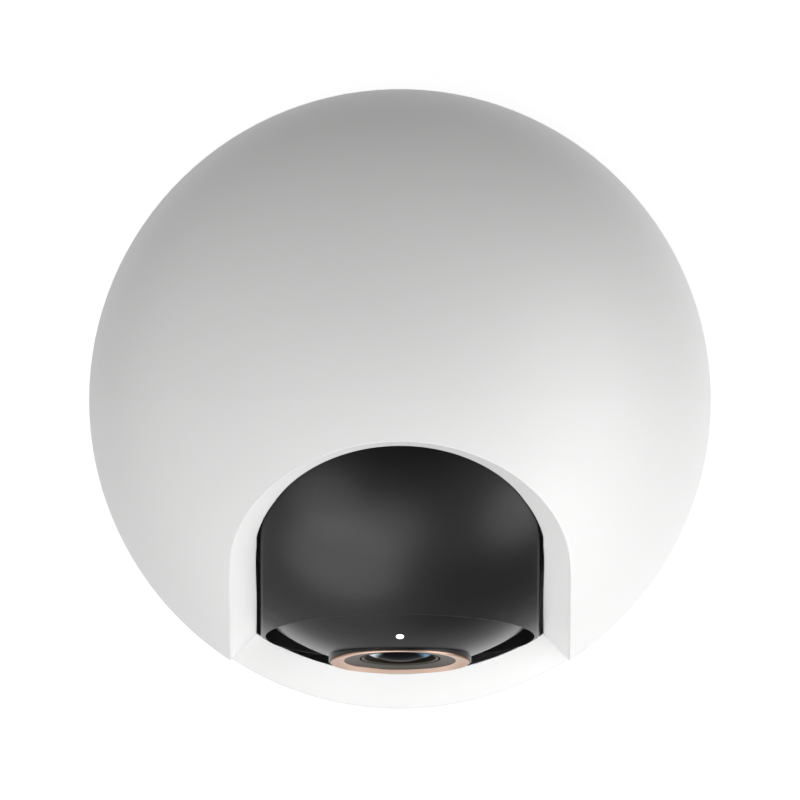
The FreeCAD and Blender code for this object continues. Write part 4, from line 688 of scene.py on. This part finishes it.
def retaining_ring_mesh(look):
    """The thin ring with chamfered edges that lies in the barrel's mouth."""
    behind_mouth = 0.75 * MM
    thickness = 0.3 * MM
    clearance = 0.02 * MM
    width = 0.41 * MM
    chamfer = 0.05 * MM
    chamfer_height = 0.06 * MM
    depth = lens_front("lens_barrel") - behind_mouth
    outer = look.glass_radius - 0.5 * MM - clearance
    inner = outer - width
    back = depth - thickness
    face = depth + chamfer_height
    outline = [(outer, depth), (outer - chamfer, face), (inner + chamfer, face)]
    outline += [(inner, depth), (inner, back), (outer, back)]
    return turned("retaining_ring", outline, LENS_STEPS, True)


def cloth_mesh():
    """A round patch of cloth that follows the inside of the base's wall."""
    low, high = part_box("speaker_gasket")
    middle = (low.z + high.z) / 2
    thickness = 0.1 * MM
    clearance = 0.12 * MM
    wall = BODY_RADIUS - SHELL_WALL - clearance
    gasket_width = 1.35 * MM
    mesh = bpy.data.meshes.new("speaker_cloth")
    shape = bmesh.new()
    radius = (high.x - low.x) / 2 - gasket_width
    rings = 14
    spokes = 72
    layers = []
    for ring in range(rings + 1):
        reach = radius * ring / rings
        points = []
        for spoke in range(spokes if ring else 1):
            turn = 2 * math.pi * spoke / spokes
            x = reach * math.cos(turn)
            y = math.sqrt(wall * wall - x * x)
            points.append(shape.verts.new((x, y, middle + reach * math.sin(turn))))
        layers.append(points)
    for first, second in zip(layers, layers[1:]):
        for i in range(spokes):
            j = (i + 1) % spokes
            corners = [first[i % len(first)], second[i], second[j], first[j % len(first)]]
            shape.faces.new(list(dict.fromkeys(corners)))
    bmesh.ops.recalc_face_normals(shape, faces=shape.faces)
    bmesh.ops.solidify(shape, geom=shape.faces[:], thickness=thickness)
    # The rim's faces come in no fixed order, so all the faces are sorted along a slanting line
    slant = Vector((1.0, 1.7, 0.6))
    shape.faces.sort(key=lambda face: face.calc_center_median().dot(slant))
    shape.to_mesh(mesh)
    shape.free()
    mesh.shade_smooth()
    return mesh


def contacts_mesh(look):
    """Gilt contacts on both sides of the socket's tongue, each a strip with sloped ends."""
    low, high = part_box("usb_socket")
    middle = (low.z + high.z) / 2
    mesh = bpy.data.meshes.new("socket_contacts")
    shape = bmesh.new()
    pitch = 0.9 * MM
    half = 0.22 * MM
    tongue = 0.35 * MM
    height = 0.08 * MM
    inset = 1.3 * MM
    length = 2.8 * MM
    front_slope = 0.15 * MM
    back_slope = 0.2 * MM
    front = high.y - inset
    back = front - length
    for i in range(look.contacts):
        x = (i - (look.contacts - 1) / 2) * pitch
        for side in (-1, 1):
            face = middle + side * tongue
            crown = face + side * height
            section = [(front, face), (front - front_slope, crown)]
            section += [(back + back_slope, crown), (back, face)]
            left = [shape.verts.new((x - half, y, z)) for y, z in section]
            right = [shape.verts.new((x + half, y, z)) for y, z in section]
            shape.faces.new(left)
            shape.faces.new(right[::-1])
            for a, b, c, d in zip(left, left[1:] + left[:1], right[1:] + right[:1], right):
                shape.faces.new((a, b, c, d))
    bmesh.ops.recalc_face_normals(shape, faces=shape.faces)
    shape.to_mesh(mesh)
    shape.free()
    return mesh


# One operator for each piece or group of like pieces


class CAMERA_OT_shells(bpy.types.Operator):
    """Finishes the white shells of the turret and the base."""

    bl_idname = "camera_look.shells"
    bl_label = "White shells"

    def execute(self, context):
        look = context.scene.shell_look
        dress(white_shell_paint(look, "white_front", 1.0), "front_shell")
        dress(white_shell_paint(look, "white_rear", 0.99), "rear_shell")
        dress(base_shell_paint(look), "base_shell")
        dress(plastic_paint("reset_grey", (0.5, 0.5, 0.5), 0.45, 0.25 * MM), "reset_button")
        return {"FINISHED"}


class CAMERA_OT_head(bpy.types.Operator):
    """Finishes the black drum, the glossy face and what they carry."""

    bl_idname = "camera_look.head"
    bl_label = "Tilting head"

    def execute(self, context):
        look = context.scene.head_look
        dress(drum_paint(look), "head_shroud")
        dress(face_paint(look), "face_plate")
        dark = plastic_paint("moulded_black", (0.02, 0.02, 0.021), 0.5, 0.3 * MM)
        dress(dark, "head_rear_cover", "head_carrier", "lens_holder")
        return {"FINISHED"}


class CAMERA_OT_lens(bpy.types.Operator):
    """Builds the glasses and the barrel, and finishes the ring, the bezel and the status light."""

    bl_idname = "camera_look.lens"
    bl_label = "Lens and status light"

    def execute(self, context):
        look = context.scene.lens_look
        dress(copper_paint(look), "lens_ring")
        bezel = bezel_paint(look)
        dress(bezel, "lens_bezel")
        dress(light_paint(look), "status_light")
        keep("front_glass", front_glass_mesh(look), glass_paint(look), "head", "lens_glass", "lens_glass")
        tube = plastic_paint("barrel_black", (0.012, 0.012, 0.013), 0.5, 0.1 * MM)
        keep("lens_tube", lens_tube_mesh(look), tube, "head", "dark_bezel", "lens_barrel")
        keep("inner_glass", inner_glass_mesh(look), coated_paint(look), "head", "lens_glass")
        keep("retaining_ring", retaining_ring_mesh(look), bezel, "head", "dark_bezel")
        return {"FINISHED"}


class CAMERA_OT_base(bpy.types.Operator):
    """Finishes the foot, the socket and the screws, and lays the cloth behind the sound holes."""

    bl_idname = "camera_look.base"
    bl_label = "Base fittings"

    def execute(self, context):
        look = context.scene.base_look
        dress(rubber_paint(look), "foot_ring")
        plate = plastic_paint("moulded_grey", look.plate, 0.5, 0.3 * MM)
        dress(plate, "base_plate", "turret_floor", "hub_retainer", "yoke_left", "yoke_right")
        dress(metal_paint("turned_brass", (0.78, 0.57, 0.25), 0.3), "tripod_insert")
        steel = metal_paint("plated_steel", (0.55, 0.55, 0.57), 0.35)
        dress(steel, "usb_socket", "card_socket")
        screws = metal_paint("screw_steel_skin", (0.4, 0.4, 0.42), 0.32)
        dress(
            screws, "base_plate_screws", "pan_motor_screws", "pan_gear_screws", "shell_screws",
            "yoke_screws", "tilt_motor_screws", "main_board_screws", "head_screws",
        )
        foam = plastic_paint("black_foam", (0.02, 0.02, 0.02), 0.9, 0.5 * MM, 0.06 * MM)
        dress(foam, "speaker_gasket")
        dress(plastic_paint("film_cone", (0.03, 0.03, 0.032), 0.35, 0.5 * MM), "speaker_cone")
        dress(plastic_paint("speaker_black", (0.03, 0.03, 0.03), 0.5, 0.3 * MM), "speaker_frame")
        keep("speaker_cloth", cloth_mesh(), cloth_paint(look), "base", "gasket_foam")
        gilt = metal_paint("gilt", (0.85, 0.62, 0.28), 0.22, 0.08 * MM)
        keep("socket_contacts", contacts_mesh(look), gilt, "base", "insert_brass")
        return {"FINISHED"}


class CAMERA_OT_works(bpy.types.Operator):
    """Finishes the drives, the boards and the cables inside."""

    bl_idname = "camera_look.works"
    bl_label = "Drives and boards"

    def execute(self, context):
        can = metal_paint("pressed_steel", (0.6, 0.6, 0.61), 0.38)
        dress(can, "pan_motor", "tilt_motor", "speaker_magnet")
        dress(metal_paint("pinion_steel_skin", (0.5, 0.5, 0.52), 0.28), "pan_pinion", "tilt_pinion")
        acetal = plastic_paint("natural_acetal", (0.72, 0.7, 0.6), 0.4, 0.4 * MM)
        dress(acetal, "pan_gear", "tilt_gear", "pan_bush", "tilt_bushes")
        dress(board_paint(), "power_board", "main_board", "sensor_board", "lamp_board")
        chips = plastic_paint("chip_epoxy", (0.02, 0.02, 0.022), 0.45, 0.2 * MM)
        dress(chips, "main_board_chips", "image_sensor", "filter_coil", "reset_switch", "filter_slide")
        dress(metal_paint("drawn_aluminium", (0.72, 0.73, 0.74), 0.32), "heat_spreader")
        dress(metal_paint("foil", (0.7, 0.45, 0.3), 0.3), "wifi_antenna")
        dress(plastic_paint("lamp_resin", (0.1, 0.07, 0.09), 0.15, 0.5 * MM), "infrared_lamps")
        jacket = plastic_paint("cable_skin", (0.03, 0.03, 0.03), 0.55, 0.3 * MM, 0.01 * MM)
        dress(jacket, "base_harness", "turret_harness", "head_cable", "board_cable")
        return {"FINISHED"}


# The studio


def heading(azimuth, elevation):
    """A direction from the object. Azimuth runs from +X towards +Y, both in degrees."""
    a = math.radians(azimuth)
    e = math.radians(elevation)
    return Vector((math.cos(e) * math.cos(a), math.cos(e) * math.sin(a), math.sin(e)))


# Each lamp: its setting, its azimuth and elevation, half the angle it fills, all in degrees, and
# whether reflections show it
LAMPS = (
    ("main", 305, 5, 30, False),
    ("front_left", 250, 16, 20, True),
    ("front_high", 266, 36, 12, True),
    ("front_right", 317, 20, 14, True),
    ("upper_left", 235, 37, 14, True),
    ("right_front", 340, 15, 20, True),
    ("right", 10, 20, 25, True),
    ("left", 180, 60, 25, False),
    ("back", 75, 30, 25, True),
)


def lamp(setting, azimuth, elevation, half_angle, seen, look):
    """A round soft lamp. Its strength is the brightness of a white surface that faces it."""
    towards = heading(azimuth, elevation)
    name = setting + "_lamp"
    data = bpy.data.lights.new(name, "AREA")
    data.shape = "DISK"
    data.size = 2 * look.distance * math.tan(math.radians(half_angle))
    data.energy = getattr(look, setting) * (math.pi * look.distance) ** 2
    holder = bpy.data.objects.new(name, data)
    bpy.context.scene.collection.objects.link(holder)
    aim = Vector((0.0, 0.0, TILT_CENTRE.z))
    holder.location = aim + towards * look.distance
    holder.rotation_euler = towards.to_track_quat("Z", "Y").to_euler()
    holder.visible_camera = False
    holder.visible_glossy = seen


def build_world(look):
    """White for the camera, a bright band at eye level for reflections, and an even light for the rest."""
    world = bpy.data.worlds.new("studio_world")
    bpy.context.scene.world = world
    paint = Paint(world)
    rays = paint.add("ShaderNodeLightPath").socket.node
    camera = Wire(paint, rays.outputs["Is Camera Ray"])
    mirror = Wire(paint, rays.outputs["Is Glossy Ray"])
    through = Wire(paint, rays.outputs["Is Transmission Ray"])
    direction = paint.add("ShaderNodeTexCoord", out="Generated")
    up = paint.split(direction)[2]
    ceiling_start = 0.62
    ceiling_full = 0.93
    below_start = -0.7
    below_full = -0.87
    overhead = up.between(ceiling_start, ceiling_full)
    flag_middle = tuple(heading(298, -8))
    flag_edge = math.cos(math.radians(34))
    flag_core = math.cos(math.radians(8))
    towards_flag = paint.vector_math("DOT_PRODUCT", direction, flag_middle, out="Value")
    flag = towards_flag.between(flag_edge, flag_core)
    level = (1 - overhead * (1 - look.ceiling)) * (1 - flag * look.flag) * look.surround
    underneath = 1 - up.between(below_full, below_start)
    reflected = level * (1 - underneath) + underneath * look.below
    seen = mirror + through
    strength = camera + (1 - camera) * (seen * reflected + (1 - seen) * look.ambient)
    paint.finish(paint.add("ShaderNodeBackground", None, {"Color": WHITE, "Strength": strength}))


def build_floor(look):
    """A pale floor that the camera sees as white, with the object's shadow kept."""
    half = 1.6
    mesh = bpy.data.meshes.new("studio_floor")
    corners = [(-half, -half, 0), (half, -half, 0), (half, half, 0), (-half, half, 0)]
    mesh.from_pydata(corners, [], [(0, 1, 2, 3)])
    floor = bpy.data.objects.new("studio_floor", mesh)
    bpy.context.scene.collection.objects.link(floor)
    paint = new_paint("pale_floor")
    mottle = paint.noise(30 * MM, 2.0)
    colour = paint.mix(mottle, shade(look.floor, 0.99), rgb(look.floor))
    rays = paint.add("ShaderNodeLightPath").socket.node
    camera = Wire(paint, rays.outputs["Is Camera Ray"])
    plain = paint.add("ShaderNodeBsdfDiffuse", None, {"Color": colour})
    lift = paint.add("ShaderNodeEmission", None, {"Color": WHITE, "Strength": look.floor_lift})
    both = paint.add("ShaderNodeAddShader", None, {0: plain, 1: lift})
    paint.finish(paint.add("ShaderNodeMixShader", None, {0: camera, 1: plain, 2: both}))
    mesh.materials.append(paint.owner)
    floor.visible_glossy = False
    floor.visible_transmission = False


def build_camera(look):
    """Looks straight down on the dome from far off, so the picture is almost without perspective."""
    sensor_width = 36.0
    data = bpy.data.cameras.new("plan_camera")
    data.lens = look.lens
    data.sensor_width = sensor_width
    distance = look.picture / 2 / (sensor_width / 2 / look.lens)
    holder = bpy.data.objects.new("plan_camera", data)
    bpy.context.scene.collection.objects.link(holder)
    holder.location = (0.0, 0.0, TILT_CENTRE.z + distance)
    data.clip_start = 0.1
    data.clip_end = distance * 4
    bpy.context.scene.camera = holder


class CAMERA_OT_studio(bpy.types.Operator):
    """Sets the camera, the lamps, the floor and the white surroundings."""

    bl_idname = "camera_look.studio"
    bl_label = "Studio"

    def execute(self, context):
        look = context.scene.studio_look
        build_camera(look)
        build_floor(look)
        build_world(look)
        for setting, azimuth, elevation, half_angle, seen in LAMPS:
            lamp(setting, azimuth, elevation, half_angle, seen, look)
        context.scene.view_settings.view_transform = "Standard"
        return {"FINISHED"}


class CAMERA_PT_looks(bpy.types.Panel):
    """Lists the sizes, the colours and the steps."""

    bl_idname = "CAMERA_PT_looks"
    bl_label = "Camera Looks"
    bl_space_type = "VIEW_3D"
    bl_region_type = "UI"
    bl_category = "Camera Looks"

    def draw(self, context):
        for look, steps in LISTED:
            box = self.layout.box()
            settings = getattr(context.scene, look)
            for name in settings.bl_rna.properties.keys():
                if name not in ("rna_type", "name"):
                    box.prop(settings, name)
            for step in steps:
                box.operator(step.bl_idname)


LOOKS = {
    "shell_look": ShellLook,
    "head_look": HeadLook,
    "lens_look": LensLook,
    "base_look": BaseLook,
    "studio_look": StudioLook,
}
LISTED = (
    ("shell_look", (CAMERA_OT_shells,)),
    ("head_look", (CAMERA_OT_head,)),
    ("lens_look", (CAMERA_OT_lens,)),
    ("base_look", (CAMERA_OT_base, CAMERA_OT_works)),
    ("studio_look", (CAMERA_OT_studio,)),
)
STEPS = tuple(step for look, steps in LISTED for step in steps)


def register():
    for kind in (*LOOKS.values(), *STEPS, CAMERA_PT_looks):
        bpy.utils.register_class(kind)
    for name, kind in LOOKS.items():
        setattr(bpy.types.Scene, name, PointerProperty(type=kind))


def unregister():
    for name in LOOKS:
        delattr(bpy.types.Scene, name)
    for kind in (CAMERA_PT_looks, *reversed(STEPS), *reversed(LOOKS.values())):
        bpy.utils.unregister_class(kind)


def main():
    register()
    for step in STEPS:
        group, name = step.bl_idname.split(".")
        getattr(getattr(bpy.ops, group), name)()
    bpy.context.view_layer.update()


if __name__ == "__main__":
    main()
